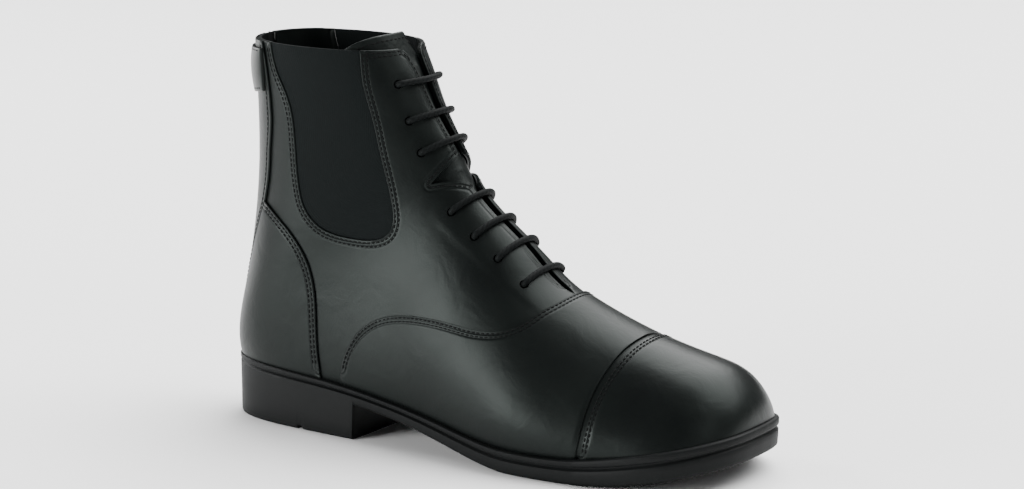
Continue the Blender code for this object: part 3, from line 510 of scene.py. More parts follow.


# Elastic: flat black with faint upright ribs. Lace: round cord with a slanting plait. Tape: dull and fine.
# Pitch and depth in mm: real ribs and picks are 0.5 to 1 mm apart, a little finer than drawn.
# The second, darker colour of each is painted shade in the grooves of its ribs, picks and plaits.
elasticWeave = wovenMaterial("ribbed_elastic", {
    "color": "#0d1111", "grooveShade": "#0a0e0e", "roughness": 0.90, "sheen": 0.02, "specular": 0.10,
    "across": "X", "pitch": 1.3, "depth": 0.03})
laceBraid = wovenMaterial("braided_polyester_lace", {
    "color": "#0e1111", "grooveShade": "#080a0a", "roughness": 0.70, "sheen": 0.0, "specular": 0.08,
    "across": "DIAGONAL", "pitch": 1.4, "depth": 0.08})
zipTape = wovenMaterial("woven_zip_tape", {
    "color": "#0e1010", "grooveShade": "#090a0a", "roughness": 0.85, "sheen": 0.0, "specular": 0.12,
    "across": "Y", "pitch": 1.0, "depth": 0.08})


def plainMaterial(name, look):
    # A moulded or spun surface with a fine even texture; its size is given in millimetres.
    material, tree, shader = newMaterial(name, look["color"], look["roughness"], look["ior"],
                                         Specular_IOR_Level=look["specular"], Sheen_Weight=look["sheen"])
    place = addNode(tree, "ShaderNodeTexCoord").outputs["Object"]
    fine = addNode(tree, "ShaderNodeTexNoise", {"Scale": 1 / (look["grain"] * mm), "Detail": 3.0},
                   {"Vector": place}).outputs["Fac"]
    broad = addNode(tree, "ShaderNodeTexNoise", {"Scale": 1 / (22 * mm), "Detail": 2.0},
                    {"Vector": place}).outputs["Fac"]
    limits = {"To Min": look["roughness"] - 0.06, "To Max": look["roughness"] + 0.06}
    rough = addNode(tree, "ShaderNodeMapRange", limits, {"Value": broad}).outputs[0]
    tree.links.new(rough, shader.inputs["Roughness"])
    bump = addNode(tree, "ShaderNodeBump", {"Distance": look["depth"] * mm, "Strength": 1.0}, {"Height": fine})
    tree.links.new(bump.outputs[0], shader.inputs["Normal"])
    return material


# Compression-moulded rubber: a satin black skin with a trace of mould texture.
mouldedRubber = plainMaterial("moulded_rubber", {
    "color": "#0d0f0f", "roughness": 0.56, "ior": 1.52, "specular": 0.11, "sheen": 0.0,
    "grain": 0.8, "depth": 0.04})
# Bonded polyester thread: black and dull, darker than the finished leather round it.
dullThread = plainMaterial("bonded_polyester_thread", {
    "color": "#060707", "roughness": 0.75, "ior": 1.5, "specular": 0.12, "sheen": 0.0,
    "grain": 0.4, "depth": 0.02})
# Brushed textile sock lining over foam: matte, and lighter than the leather.
sockLining = plainMaterial("sock_lining_textile", {
    "color": "#2b2c2d", "roughness": 0.92, "ior": 1.45, "specular": 0.2, "sheen": 0.3,
    "grain": 0.7, "depth": 0.10})
# Acetal zip coil: smooth and a little glossy.
coilPlastic = plainMaterial("acetal_zip_coil", {
    "color": "#121313", "roughness": 0.38, "ior": 1.48, "specular": 0.5, "sheen": 0.0,
    "grain": 1.5, "depth": 0.01})
print("materials ready")


# Upper: quarters, facings and shaft as one lined wall, open at the throat, the gores and the zip
upper = {
    "wall": 2.0 * mm, "ease": 0.45 * mm, "eyeletReach": 17.5 * mm, "zipWidth": 6.2 * mm,
    "zipEndHeight": 56 * mm, "gap": 0.3 * mm, "panelColumns": 30, "rearColumns": 34,
    "slitShare": 0.45, "slitBlend": 1.5,    # where the two panels meet below the gore's window
    "facingWidth": 23 * mm, "facingRise": 0.35 * mm,    # facing reinforcement shows through the leather
    # station, half gap of the throat as a share of the eyelets' reach
    "throat": ((4.92, 0.00), (5.05, 0.10), (5.60, 0.12), (6.50, 0.13), (7.20, 0.14), (7.85, 0.15),
               (8.17, 0.22), (8.50, 0.66), (8.80, 1.06), (8.92, 0.58), (9.05, 0.17), (9.60, 0.14),
               (10.60, 0.15), (11.50, 0.18), (12.20, 0.22), (12.70, 0.30), (12.90, 0.42), (13.00, 0.62)),
    # the gore's window from the side, x of the length, z of the collar height
    "window": ((0.100, 1.040), (0.103, 1.000), (0.108, 0.962), (0.119, 0.923), (0.137, 0.879), (0.151, 0.826),
               (0.156, 0.775), (0.160, 0.697), (0.167, 0.628), (0.176, 0.589), (0.194, 0.556), (0.217, 0.534),
               (0.254, 0.521), (0.294, 0.518), (0.327, 0.525), (0.344, 0.541), (0.350, 0.570), (0.346, 0.611),
               (0.337, 0.665), (0.327, 0.720), (0.317, 0.780), (0.307, 0.841), (0.296, 0.898), (0.285, 1.000),
               (0.281, 1.040))}
throatTable = np.array(upper["throat"])
zipEnd = backStation(upper["zipEndHeight"])


def throatEdge(stations):
    # Angle of the facing's edge at the throat; closed below the first row of its table.
    gap = np.interp(stations, throatTable[:, 0], throatTable[:, 1]) * upper["eyeletReach"]
    return frontAngle(stations, np.where(stations > throatTable[0, 0], gap, 0))


def windowEdges(stations, grow=0.0):
    # Front and rear angle of the gore's window at each station; the two meet below it.
    points = np.array(upper["window"]) * (length, collarHeight)
    if grow:
        way = np.gradient(points, axis=0)
        way /= np.linalg.norm(way, axis=1, keepdims=True)
        points = points + np.stack([way[:, 1], -way[:, 0]], -1) * grow
    s, share = seamOnLast(points, 700, (1, 1))
    a, bottom = shareAngle(share), int(np.argmin(s))
    front, rear = (np.where(stations < s[bottom], a[bottom], np.interp(stations, s[edge], a[edge]))
                   for edge in (slice(bottom, None), slice(bottom, None, -1)))
    return front, rear, s[bottom]


def rearEnd(stations, side, offset, heelRow):
    # Sole line, then the back's middle line, then the zip's slot.
    angles = featherAngle(stations, side, offset, -sole["sunk"])
    angles = np.where(stations >= heelRow - 1e-9, pi, angles)
    return np.where(stations > zipEnd, backAngle(stations, upper["zipWidth"] / 2 + upper["gap"]), angles)


def upperRows(toe, heelRow, bottom):
    # Stations of the upper's rows: closer at the toe, the throat's notch and the window's lower end.
    ease = 0.02
    fine = bottom + np.array([0, 0.0004, 0.0016, 0.004, 0.008, 0.014, 0.022, 0.032])
    fixed = [heelRow, zipEnd - 0.001, zipEnd + 0.001, collarRow - ease, collarRow]
    rows = [toe + (3 - toe) * np.linspace(0, 1, 16)**2, np.arange(3.1, 4.9, 0.12), np.arange(4.92, 8.1, 0.055),
            np.arange(8.1, 9.12, 0.03), np.arange(9.14, collarRow - ease, 0.05), fine, fixed]
    rows = np.unique(np.concatenate(rows))
    must = np.concatenate([fine, rows[:1], fixed])
    far = np.abs(rows[:, None] - must[None, :]).min(axis=1) > 0.012
    return np.unique(np.concatenate([rows[far], must]))


def facingRise(stations, angles):
    # The facing's reinforcement lifts the leather a little beside the throat.
    reach = frontAngle(stations, upper["facingWidth"])[:, None]
    side = np.clip((reach - np.abs(angles)) / 0.05, 0, 1)
    along = np.clip((stations[:, None] - 5.0) / 0.5, 0, 1) * np.clip((8.4 - stations[:, None]) / 0.5, 0, 1)
    return upper["facingRise"] * side**2 * (3 - 2 * side) * along


def makeUpper():
    # Each side is two panels, in front of and behind the gore's window: angle = low + (high - low) * share.
    toe = lineCrossing(0.0, 0.0, 2.0, 0.0, -sole["sunk"])
    heelRow = lineCrossing(pi, instepRow, instepRow + 2.0, 0.0, -sole["sunk"])
    rows = upperRows(toe, heelRow, windowEdges(np.array([9.0]))[2])
    front, rear, bottom = windowEdges(rows)
    patches = []
    for side in (-1, 1):
        start, end = throatEdge(rows), rearEnd(rows, side, 0.0, heelRow)
        middle = start + (end - start) * upper["slitShare"]
        below = rows < bottom + 1e-9
        blend = np.clip((bottom - rows) / upper["slitBlend"], 0, 1)
        slit = np.minimum(front * (1 - blend) + middle * blend, end - 1e-4)
        panelEnd, rearStart = (np.where(below, slit, np.minimum(edge, end)) for edge in (front, rear))
        for low, high, count, openLow, openHigh in (
                (start, panelEnd, upper["panelColumns"], rows > throatTable[0, 0], ~below),
                (rearStart, end, upper["rearColumns"], ~below, rows > zipEnd)):
            share = edgeShares(count, rowWidth(rows, low, high), upper["ease"])
            angles = low[:, None] + (high - low)[:, None] * share
            part = patch(rows[:, None], angles, side, openLow, openHigh, False, True)
            part["outer"] = facingRise(rows, part["a"])
            patches.append(part)
    return shellMesh("upper_leather", patches, -upper["wall"], 0.0, upper["ease"])


quarters = makeUpper()

# Lace: station of each pair of eyelets, from the vamp up
lace = {"stations": (5.67, 6.50, 7.20, 7.97, 9.67, 10.67, 11.80), "diameter": 3.2 * mm, "hole": 4.6 * mm,
        "dip": 0.12, "plait": 0.05, "plaitPitch": 4.4 * mm, "around": 20, "along": 90}


def eyeletCutter():
    # All the punched holes as one cutter: circles of points carried along the hole's axis.
    turn = np.linspace(0, 2 * pi, 20, endpoint=False)
    stations = np.repeat(lace["stations"], 2)
    angles = frontAngle(stations, upper["eyeletReach"]) * np.tile((-1, 1), len(lace["stations"]))
    centre, axis = skinPoint(stations, angles), lastNormal(stations, angles)
    across = np.cross(axis, (0, 1, 0))
    across /= np.linalg.norm(across, axis=1, keepdims=True)
    other = np.cross(axis, across)
    ray = np.cos(turn)[None, :, None] * across[:, None] + np.sin(turn)[None, :, None] * other[:, None]
    rings = [centre[:, None] + ray * lace["hole"] / 2 + axis[:, None] * depth for depth in (-4 * mm, 3 * mm)]
    points = np.concatenate([ring.reshape(-1, 3) for ring in rings])
    total = len(stations) * len(turn)
    index = np.arange(total).reshape(-1, len(turn))
    ahead = np.roll(index, -1, 1)
    side = np.stack([index, ahead, ahead + total, index + total], -1).reshape(-1, 4)
    caps = index[:, ::-1].tolist() + (index + total).tolist()
    return meshObject("eyelet_punch", points, side.tolist() + caps, weld=0)


def punchEyelets(piece):
    # Cuts the holes and keeps the result as the piece's own mesh.
    cutter = eyeletCutter()
    change = piece.modifiers.new("eyelets", "BOOLEAN")
    change.operation, change.solver, change.object = "DIFFERENCE", "EXACT", cutter
    bpy.context.view_layer.update()
    done = bpy.data.meshes.new_from_object(piece.evaluated_get(bpy.context.evaluated_depsgraph_get()))
    piece.modifiers.remove(change)
    piece.data = done
    bpy.data.objects.remove(cutter, do_unlink=True)


punchEyelets(quarters)
print("upper made")

# Seams that the overlays end at, drawn from the side
seams = {
    "vamp": ((0.676, 0.450), (0.664, 0.422), (0.652, 0.402), (0.638, 0.386), (0.624, 0.366), (0.601, 0.346),
             (0.572, 0.337), (0.535, 0.337), (0.496, 0.344), (0.454, 0.349), (0.411, 0.348), (0.367, 0.339),
             (0.341, 0.327), (0.315, 0.306), (0.294, 0.279), (0.278, 0.246), (0.265, 0.205), (0.258, 0.160),
             (0.254, 0.030)),
    "cap": ((0.800, 0.380), (0.795, 0.332), (0.789, 0.316), (0.784, 0.298), (0.778, 0.269), (0.772, 0.234),
            (0.768, 0.195), (0.766, 0.150), (0.764, 0.110), (0.760, 0.075), (0.757, 0.020)),
    "counter": ((0.005, 0.612), (0.045, 0.600), (0.083, 0.582), (0.114, 0.556), (0.146, 0.521), (0.168, 0.487),
                (0.182, 0.456), (0.193, 0.419), (0.201, 0.374), (0.205, 0.323), (0.207, 0.270), (0.210, 0.207),
                (0.214, 0.150), (0.216, 0.040))}


def sideSeam(name, side, offset, count=160, shift=0.0):
    # A seam from the front line down to the sole, as stations and shares of the way round.
    s, share = seamOnLast(seams[name], 1200)
    if share[0] < 0:
        k = int(np.argmax(share > 0))
        t = share[k - 1] / (share[k - 1] - share[k])
        s = np.r_[s[k - 1] + t * (s[k] - s[k - 1]), s[k:]]
        share = np.r_[0.0, share[k:]]
    a = shareAngle(share)
    a[0] = 0.0
    feather = featherAngle(s, side, offset, -sole["sunk"])
    under = np.nonzero(a > feather)[0]
    end = under[0] + 1 if len(under) else len(s)
    s, a = s[:end], np.minimum(a[:end], feather[:end])
    s = s + shift
    share = a / featherAngle(s, side, offset, -sole["sunk"])
    line = resampled(np.column_stack([s, share, lastPoint(s, side * a)]), count)
    return line[:, 0], np.clip(line[:, 1], 0, 1)


overlays = {"gap": 0.1 * mm, "vamp": 1.0 * mm, "cap": 1.2 * mm, "back": 1.2 * mm, "ease": 0.4 * mm,
            "lap": 0.06}    # stations by which the cap covers the vamp's edge


def coverPatches(lowLine, highLine, rows, offset, power=1.0):
    # Between two seams: stations and shares of the way round run straight from one seam to
    # the other, for both sides of the boot, which meet on the front line.
    patches = []
    for side in (-1, 1):
        s0, f0 = lowLine(side)
        s1, f1 = highLine(side)
        width = np.linalg.norm(lastPoint(s1, side * f1) - lastPoint(s0, side * f0), axis=1).mean()
        near = overlays["ease"] / max(width, 1 * mm)
        v = np.r_[0, near + (1 - 2 * near) * np.linspace(0, 1, rows), 1]**power
        s = s0[None, :] + (s1 - s0)[None, :] * v[:, None]
        f = f0[None, :] + (f1 - f0)[None, :] * v[:, None]
        f[:, 0], f[:, -1] = 0, 1
        feather = featherAngle(s.ravel(), side, offset, -sole["sunk"]).reshape(s.shape)
        patches.append(patch(s, f * feather, side, False, True))
    return patches


def makeVamp():
    # Straight in stations and shares from the cap's seam to the vamp's.
    top = overlays["gap"] + overlays["vamp"]
    parts = coverPatches(lambda side: sideSeam("cap", side, top, 110),
                         lambda side: sideSeam("vamp", side, top, 110), 64, top)
    return shellMesh("vamp_leather_piece", parts, overlays["gap"], top, overlays["ease"])


def makeCap():
    # The same from the toe's lowest point to the cap's seam, with its rows drawn together at the tip.
    top = overlays["gap"] + overlays["cap"]
    toe = lineCrossing(0.0, 0.0, 2.0, top, -sole["sunk"])

    def tip(side):
        s, f = sideSeam("cap", side, top, 90, -overlays["lap"])
        return np.full(len(s), toe), f

    parts = coverPatches(tip, lambda side: sideSeam("cap", side, top, 90, -overlays["lap"]), 56, top, 1.8)
    return shellMesh("toe_cap_leather_piece", parts, overlays["gap"], top, overlays["ease"])


vampPiece, capPiece = makeVamp(), makeCap()
print("vamp and cap made")

back = {"stripInner": upper["zipWidth"] / 2 + 0.3 * mm, "stripWidth": 27 * mm, "rows": 90, "columns": 44,
        # station, the strips' outer edge as a share of their width
        "stripEdge": ((8.50, 0.38), (9.50, 0.38), (9.80, 0.45), (10.25, 0.69), (10.42, 0.76), (10.66, 0.86),
                      (10.85, 0.94), (11.14, 0.96), (11.60, 0.96), (12.00, 1.00), (12.30, 1.00), (12.70, 0.97),
                      (13.00, 0.93))}


def stripOuter(stations, spare=0.0):
    # Angle of the strips' outer edge; below the zip it bounds the heel patch.
    edge = np.array(back["stripEdge"])
    share = np.interp(stations, edge[:, 0], edge[:, 1])
    return backAngle(stations, back["stripInner"] + back["stripWidth"] * share + spare)


def counterSide(stations, side, offset):
    # The counter ends at the sole or at the strip beside the zip, whichever comes first.
    feather = featherAngle(stations, side, offset, -sole["sunk"])
    return np.minimum(feather, stripOuter(stations, 0.2 * mm))


def makeCounter(side, name):
    # Rows run from the seam to the strip beside the zip, and close to points at both ends.
    top = overlays["gap"] + overlays["back"]
    s, share = seamOnLast(seams["counter"], 1200)
    a = shareAngle(share)
    order = np.argsort(s)
    s, a = s[order], a[order]
    inside = a < counterSide(s, side, top)
    s, a = s[inside], a[inside]
    rows = s[0] + (s[-1] - s[0]) * (1 - np.cos(pi * np.linspace(0, 1, back["rows"]))) / 2
    low, high = np.interp(rows, s, a), counterSide(rows, side, top)
    high = np.maximum(high, low + 1e-4)
    share = edgeShares(back["columns"], rowWidth(rows, low, high), overlays["ease"])
    part = patch(rows[:, None], low[:, None] + (high - low)[:, None] * share, side, True, True, False, False)
    return shellMesh(name, [part], overlays["gap"], top, overlays["ease"])


def bandMesh(name, rows, low, high, count, thickness, sides=(-1, 1)):
    # A band between two angle functions of the station, on one or both sides.
    patches = []
    for side in sides:
        a0, a1 = low(rows, side), high(rows, side)
        share = edgeShares(count, rowWidth(rows, a0, a1), overlays["ease"])
        patches.append(patch(rows[:, None], a0[:, None] + (a1 - a0)[:, None] * share, side,
                             a0 > 1e-6, a1 < pi - 1e-6))
    return shellMesh(name, patches, overlays["gap"], overlays["gap"] + thickness, overlays["ease"])


counters = [makeCounter(-1, "counter_leather_lateral"), makeCounter(1, "counter_leather_medial")]


def makeBackPieces():
    # Bands on both sides of the back line: the patch below the zip, then a strip on each side of it.
    top = overlays["gap"] + overlays["back"]
    heelRow = lineCrossing(pi, instepRow, instepRow + 2.0, top, -sole["sunk"])
    samples = np.linspace(instepRow + 0.2, heelRow, 161)
    spare = featherAngle(samples, 1, top, -sole["sunk"]) - stripOuter(samples)
    begin = samples[int(np.argmax(spare > 0.01))]
    rows = np.unique(np.r_[np.linspace(begin, heelRow, 6), np.linspace(heelRow, zipEnd - 0.02, 22)])

    def down(stations, side):
        feather = featherAngle(stations, side, top, -sole["sunk"])
        return np.where(stations >= heelRow - 1e-9, pi, feather)

    heelPatch = bandMesh("heel_patch_leather", rows, lambda s, side: stripOuter(s), down, 18, overlays["back"])
    rows = np.r_[zipEnd, zipEnd + 0.02, np.arange(zipEnd + 0.05, collarRow - 0.04, 0.05), collarRow - 0.02,
                 collarRow]
    strips = [bandMesh("back_strip_leather_" + label, rows, lambda s, side: stripOuter(s),
                       lambda s, side: backAngle(s, back["stripInner"]), 30, overlays["back"], sides=(side,))
              for label, side in (("lateral", -1), ("medial", 1))]
    return heelPatch, strips


heelPatch, backStrips = makeBackPieces()
print("back pieces made")


def mappedMesh(name, grid, uv):
    # A tube from a grid of points with a flat map in metres for woven patterns: the last column
    # joins the first, and a cap closes each end.
    rows, columns = grid.shape[:2]
    index = np.arange(rows * columns).reshape(rows, columns)
    faces = ringQuads(rows, columns).tolist() + [index[0, ::-1].tolist(), index[-1].tolist()]
    mesh = bootMesh(name, grid.reshape(-1, 3), faces)
    corner = np.empty(len(mesh.loops), dtype=np.int64)
    mesh.loops.foreach_get("vertex_index", corner)
    layer = mesh.uv_layers.new(name="map")
    layer.data.foreach_set("uv", uv.reshape(-1, 2)[corner].ravel().astype(np.float32))
    return linkedObject(name, mesh)


def closedSheet(name, stations, angles, side, high, thickness):
    # A thin closed slab over the last with a map: outer and inner grids and their four rims in one
    # wrap of the rows: outer left to right, then inner right to left.
    outer, inner = skinPoint(stations, angles, high), skinPoint(stations, angles, high - thickness)
    if side < 0:
        outer, inner = outer[:, ::-1], inner[:, ::-1]
    wrap = np.concatenate([outer, inner[:, ::-1]], axis=1)
    uv = np.zeros((*wrap.shape[:2], 2))
    uv[:, 1:, 0] = np.linalg.norm(np.diff(wrap, axis=1), axis=-1).cumsum(axis=1)
    uv[1:, :, 1] = np.linalg.norm(np.diff(wrap, axis=0), axis=-1).cumsum(axis=0)
    return mappedMesh(name, wrap, uv)


# Elastic gores: ribbed weave set a little below the leather
gore = {"recess": 0.8 * mm, "thickness": 1.0 * mm, "rows": 120, "columns": 60, "gap": 0.15 * mm}


def makeGore(side, name):
    # Between the window's two edges: angle = front + (rear - front) * share, rows closer at the bottom.
    bottom = windowEdges(np.array([9.0]), -gore["gap"])[2]
    top = collarRow - 0.004
    rows = bottom + 0.0005 + (top - bottom - 0.0005) * np.linspace(0, 1, gore["rows"])**1.6
    front, rear, _ = windowEdges(rows, -gore["gap"])
    share = np.linspace(0, 1, gore["columns"])
    angles = front[:, None] + (rear - front)[:, None] * share
    return closedSheet(name, rows[:, None] + 0 * angles, side * angles, side, -gore["recess"],
                       gore["thickness"])


gores = [makeGore(-1, "elastic_gore_lateral"), makeGore(1, "elastic_gore_medial")]

# Back zip: a woven tape in the slot and two rows of coil along its middle
zipper = {"thickness": 0.8 * mm, "teethPitch": 1.5 * mm, "tooth": (1.5 * mm, 0.85 * mm, 0.9 * mm)}


def makeZip():
    # A band of even width about the back line, and blocks set left and right of it in turn.
    rows = np.linspace(zipEnd + 0.01, collarRow - 0.004, 92)
    reach = pi - backAngle(rows, upper["zipWidth"] / 2)
    angles = pi + reach[:, None] * np.linspace(-1, 1, 9)[None, :]
    tape = closedSheet("back_zip_tape", rows[:, None] + 0 * angles, angles, 1, 0.2 * mm, zipper["thickness"])
    line = resampled(skinPoint(rows, np.full(len(rows), pi), 0.3 * mm), 2000)
    run = np.linalg.norm(np.diff(line, axis=0), axis=1).sum()
    count = int(run / zipper["teethPitch"])
    at = resampled(line, count)
    way = np.gradient(at, axis=0)
    way /= np.linalg.norm(way, axis=1, keepdims=True)
    across = np.tile((0.0, 1.0, 0.0), (count, 1))
    normal = np.cross(across, way)
    at = at + across * (np.where(np.arange(count) % 2, 0.7, -0.7) * mm)[:, None]
    teeth = repeatedBlocks("back_zip_coil", at, across, way, normal, zipper["tooth"])
    return tape, teeth


def repeatedBlocks(name, centre, first, second, third, size):
    # Many small pillow-shaped solids: a rounded grid (superellipse section times its length)
    # placed at each centre along three directions.
    u = np.array([-1, -0.82, -0.4, 0, 0.4, 0.82, 1])
    half = np.sqrt(np.clip(1 - np.abs(u)**3.0, 0, 1)) * 0.98 + 0.02
    turn = np.linspace(0, 2 * pi, 6, endpoint=False) + pi / 6
    ring = np.stack([np.cos(turn), np.sin(turn)], -1)
    a = np.repeat(u, len(turn)) * size[0] / 2
    b = (half[:, None] * ring[None, :, 0]).ravel() * size[1] / 2
    c = (half[:, None] * ring[None, :, 1]).ravel() * size[2] / 2
    points = (centre[:, None] + first[:, None] * a[None, :, None] + second[:, None] * b[None, :, None]
              + third[:, None] * c[None, :, None])
    n, rows = len(turn), len(u)
    index = np.arange(rows * n).reshape(rows, n)
    base = ringQuads(rows, n)
    caps = [end[corners] for end in (index[0][::-1], index[-1]) for corners in ([0, 1, 2, 3], [0, 3, 4, 5])]
    base = np.concatenate([base, np.array(caps)])
    faces = (base[None] + (np.arange(len(centre)) * rows * n)[:, None, None]).reshape(-1, 4)
    return meshObject(name, points.reshape(-1, 3), faces.tolist(), weld=0)


zipTapePiece, zipTeeth = makeZip()
print("gores and zip made")

# Snap flap round the back of the collar; its pointed free end is on the medial side
flap = {"drop": 4 * mm, "height": 25 * mm, "lateralReach": 29 * mm, "medialAngle": 118, "leather": 1.5 * mm,
        "lead": 0.20, "follow": 0.06, "columns": 80, "rows": 46, "puff": 1.6 * mm, "station": 12.5}


def flapPlace(share, up):
    # Shares along the flap from its medial end to its lateral end, and up from its lower edge.
    top = backStation(collarHeight - flap["drop"])
    bottom = backStation(collarHeight - flap["drop"] - flap["height"])
    lateralEnd = 2 * pi - backAngle(np.array([top]), flap["lateralReach"])[0]
    begin = math.radians(flap["medialAngle"])
    angle = begin + (lateralEnd - begin) * share
    toward = np.clip((pi - angle) / (pi - begin), 0, 1)**2
    low, high = bottom + flap["follow"] * toward, top - flap["lead"] * toward
    return low + (high - low) * up, angle


def flapInner(angles):
    # The flap lies on the strips, and drops to the upper past their edge.
    past = np.clip((stripOuter(np.array([flap["station"]]))[0] - angles) / 0.25, 0, 1)
    return overlays["gap"] + (overlays["gap"] + overlays["back"]) * (1 - past)


def makeFlap():
    # A band whose height over the leather is a crown, up * (1 - up) times the root of share * (1 - share).
    share = np.r_[0, 0.004, np.linspace(0.012, 0.988, flap["columns"]), 0.996, 1]
    up = np.r_[0, 0.012, np.linspace(0.03, 0.97, flap["rows"]), 0.988, 1]
    stations, angles = flapPlace(share[None, :] + 0 * up[:, None], up[:, None] + 0 * share[None, :])
    inner = flapInner(angles)
    crown = flap["puff"] * (4 * up * (1 - up))[:, None] * (4 * share * (1 - share))[None, :]**0.5
    part = patch(stations, angles, 1, True, True, True, True)
    part["inner"], part["outer"] = inner, inner + flap["leather"] + crown
    return shellMesh("snap_flap_leather", [part], 0.0, 0.0, overlays["ease"])


flapPiece = makeFlap()

# Tongue: soft padded leather behind the facings, arched above the collar
tongue = {"edges": ((5.30, 30, 30), (6.50, 38, 38), (8.00, 46, 46), (9.50, 54, 48), (11.00, 58, 34),
                    (12.00, 60, 18), (13.00, 62, 5), (13.60, 62, 2)), "play": 0.9 * mm,
          "thickness": 2.4 * mm, "rise": 8.5 * mm, "columns": 72, "wave": 0.25 * mm}


def tonguePlace(stationShare, share):
    # Share -1 to 1 across; the top edge falls away to both sides with a power of the share.
    table = np.array(tongue["edges"], float)
    end = collarRow + tongue["rise"] / (last(collarRow + 1.0)[1] - collarHeight)
    top = end - (end - collarRow + 0.05) * np.where(share < 0, np.abs(share)**2.5, 0.8 * np.abs(share)**5)
    stations = table[0, 0] + (top - table[0, 0]) * stationShare
    lateral, medial = (np.radians(np.interp(stations, table[:, 0], table[:, k])) for k in (1, 2))
    return stations, np.where(share < 0, lateral, medial) * share


def makeTongue():
    # A band behind the facings, its face waved by a product of two sines.
    share = np.r_[-1, -0.985, np.linspace(-0.96, 0.96, tongue["columns"]), 0.985, 1]
    rise = np.r_[np.linspace(0, 0.985, 150), 0.991, 0.996, 1]
    stations, angles = tonguePlace(rise[:, None], share[None, :])
    ripple = tongue["wave"] * np.sin(stations * 5.1 + 2.0 * angles) * np.sin(stations * 2.3 + 1.0)
    outside = -upper["wall"] - tongue["play"]
    part = patch(stations, angles, 1, True, True, True, True)
    part["outer"], part["inner"] = outside + np.minimum(ripple, 0), outside - tongue["thickness"]
    return shellMesh("tongue_leather", [part], 0.0, 0.0, 0.7 * mm)


tonguePiece = makeTongue()
print("flap and tongue made")


def tubeAlong(name, path, radius, look):
    # A tube round a path: its radius is lifted in a plait, a product of two opposed spirals.
    way = np.gradient(path, axis=0)
    way /= np.linalg.norm(way, axis=1, keepdims=True)
    across = np.cross(way, (0.6, 0.0, -0.8))
    across /= np.linalg.norm(across, axis=1, keepdims=True)
    other = np.cross(way, across)
    run = np.r_[0, np.cumsum(np.linalg.norm(np.diff(path, axis=0), axis=1))]
    turn = np.linspace(0, 2 * pi, look["around"], endpoint=False)
    phase = 2 * pi * run[:, None] / look["plaitPitch"]
    plait = np.abs(np.sin(3 * turn + phase * 2)) * np.abs(np.sin(3 * turn - phase * 2))
    r = radius * (1 + look["plait"] * (plait - 0.5))
    grid = path[:, None] + r[..., None] * (np.cos(turn)[None, :, None] * across[:, None]
                                           + np.sin(turn)[None, :, None] * other[:, None])
    uv = np.stack(np.broadcast_arrays(turn[None, :] * radius, run[:, None]), -1)
    return mappedMesh(name, grid, uv)


def makeLaceBar(number, station):
    # Up out of one punched hole, over both facings and down into the other.
    radius = lace["diameter"] / 2
    reach = frontAngle(np.array([station]), upper["eyeletReach"])[0]
    turn = frontAngle(np.array([station]), radius * 1.2)[0]
    bend = np.linspace(0, pi / 2, 12)
    deep, top = -3.2 * mm, radius + 0.25 * mm
    run = np.linspace(reach - turn, 0, 24)[1:]
    angles = np.r_[np.full(6, reach), reach - turn * (1 - np.cos(bend)), run]
    heights = np.r_[np.linspace(deep, 0.0, 7)[:-1], top * np.sin(bend), np.full(len(run), top)]
    angles = np.r_[-angles, angles[-2::-1]]
    heights = np.r_[heights, heights[-2::-1]]
    dip = lace["dip"] * np.cos(pi / 2 * np.clip(angles / reach, -1, 1))
    path = resampled(skinPoint(station - dip, angles, heights), lace["along"])
    return tubeAlong("lace_%d" % number, path, radius, lace)


laces = [makeLaceBar(number, station) for number, station in enumerate(lace["stations"], 1)]
print("laces made")


# Outsole: one moulded rubber unit, a ring of levels down its side and grids across it


def planOutline(offset, toeCount=220, heelCount=120):
    # The line where the upper meets the sole, heel to toe on both sides, as x and y.
    heelRow = lineCrossing(pi, instepRow, instepRow + 2.0, offset, 0.0)
    toe = lineCrossing(0.0, 0.0, 2.0, offset, 0.0)
    rows = np.r_[toe + (instepRow - toe) * np.linspace(0, 1, toeCount)[:-1]**2,
                 heelRow - (heelRow - instepRow) * np.linspace(1, 0, heelCount)**2]
    sides = []
    for side in (-1, 1):
        angles = featherAngle(rows, side, offset, 0.0)
        angles[-1] = pi
        sides.append(skinPoint(rows, side * angles, offset)[::-1, :2])
    return sides


def soleRing(offset, shares):
    # Plan points of both sides at shares of the length, and their outward normals, smoothed.
    lateral, medial = planOutline(offset)
    low, high = lateral[:, 0].min(), lateral[:, 0].max()
    x = low + (high - low) * shares
    rows = []
    for line in (lateral, medial):
        order = np.argsort(line[:, 0])
        rows.append(np.interp(x, line[order, 0], line[order, 1]))
    for end in (0, -1):
        rows[0][end] = rows[1][end] = (rows[0][end] + rows[1][end]) / 2
    ring = np.column_stack([np.r_[x, x[-2:0:-1]], np.r_[rows[0], rows[1][-2:0:-1]]])
    way = np.roll(ring, -2, 0) - np.roll(ring, 2, 0)
    normal = np.stack([way[:, 1], -way[:, 0]], -1)
    return ring, normal / np.linalg.norm(normal, axis=1, keepdims=True)


tread = {"heelGrooves": (0.058, 0.116, 0.174), "foreGrooves": (0.610, 0.668, 0.726, 0.784, 0.842), "rim": 0.80,
         "across": 36, "insole": 2.8 * mm, "insolePlay": 2.8 * mm}


def grooveDepthAt(x, low, span):
    # Each groove is a trapezoid in x: up its slope, flat, and down again.
    depth = np.zeros_like(x)
    width, slope = sole["grooveWidth"], sole["grooveSlope"]
    for share in tread["heelGrooves"] + tread["foreGrooves"]:
        start = low + share * span
        inside = np.minimum((x - start) / slope, (start + width - x) / slope)
        depth = np.maximum(depth, np.clip(inside, 0, 1))
    return depth * sole["grooveDepth"]


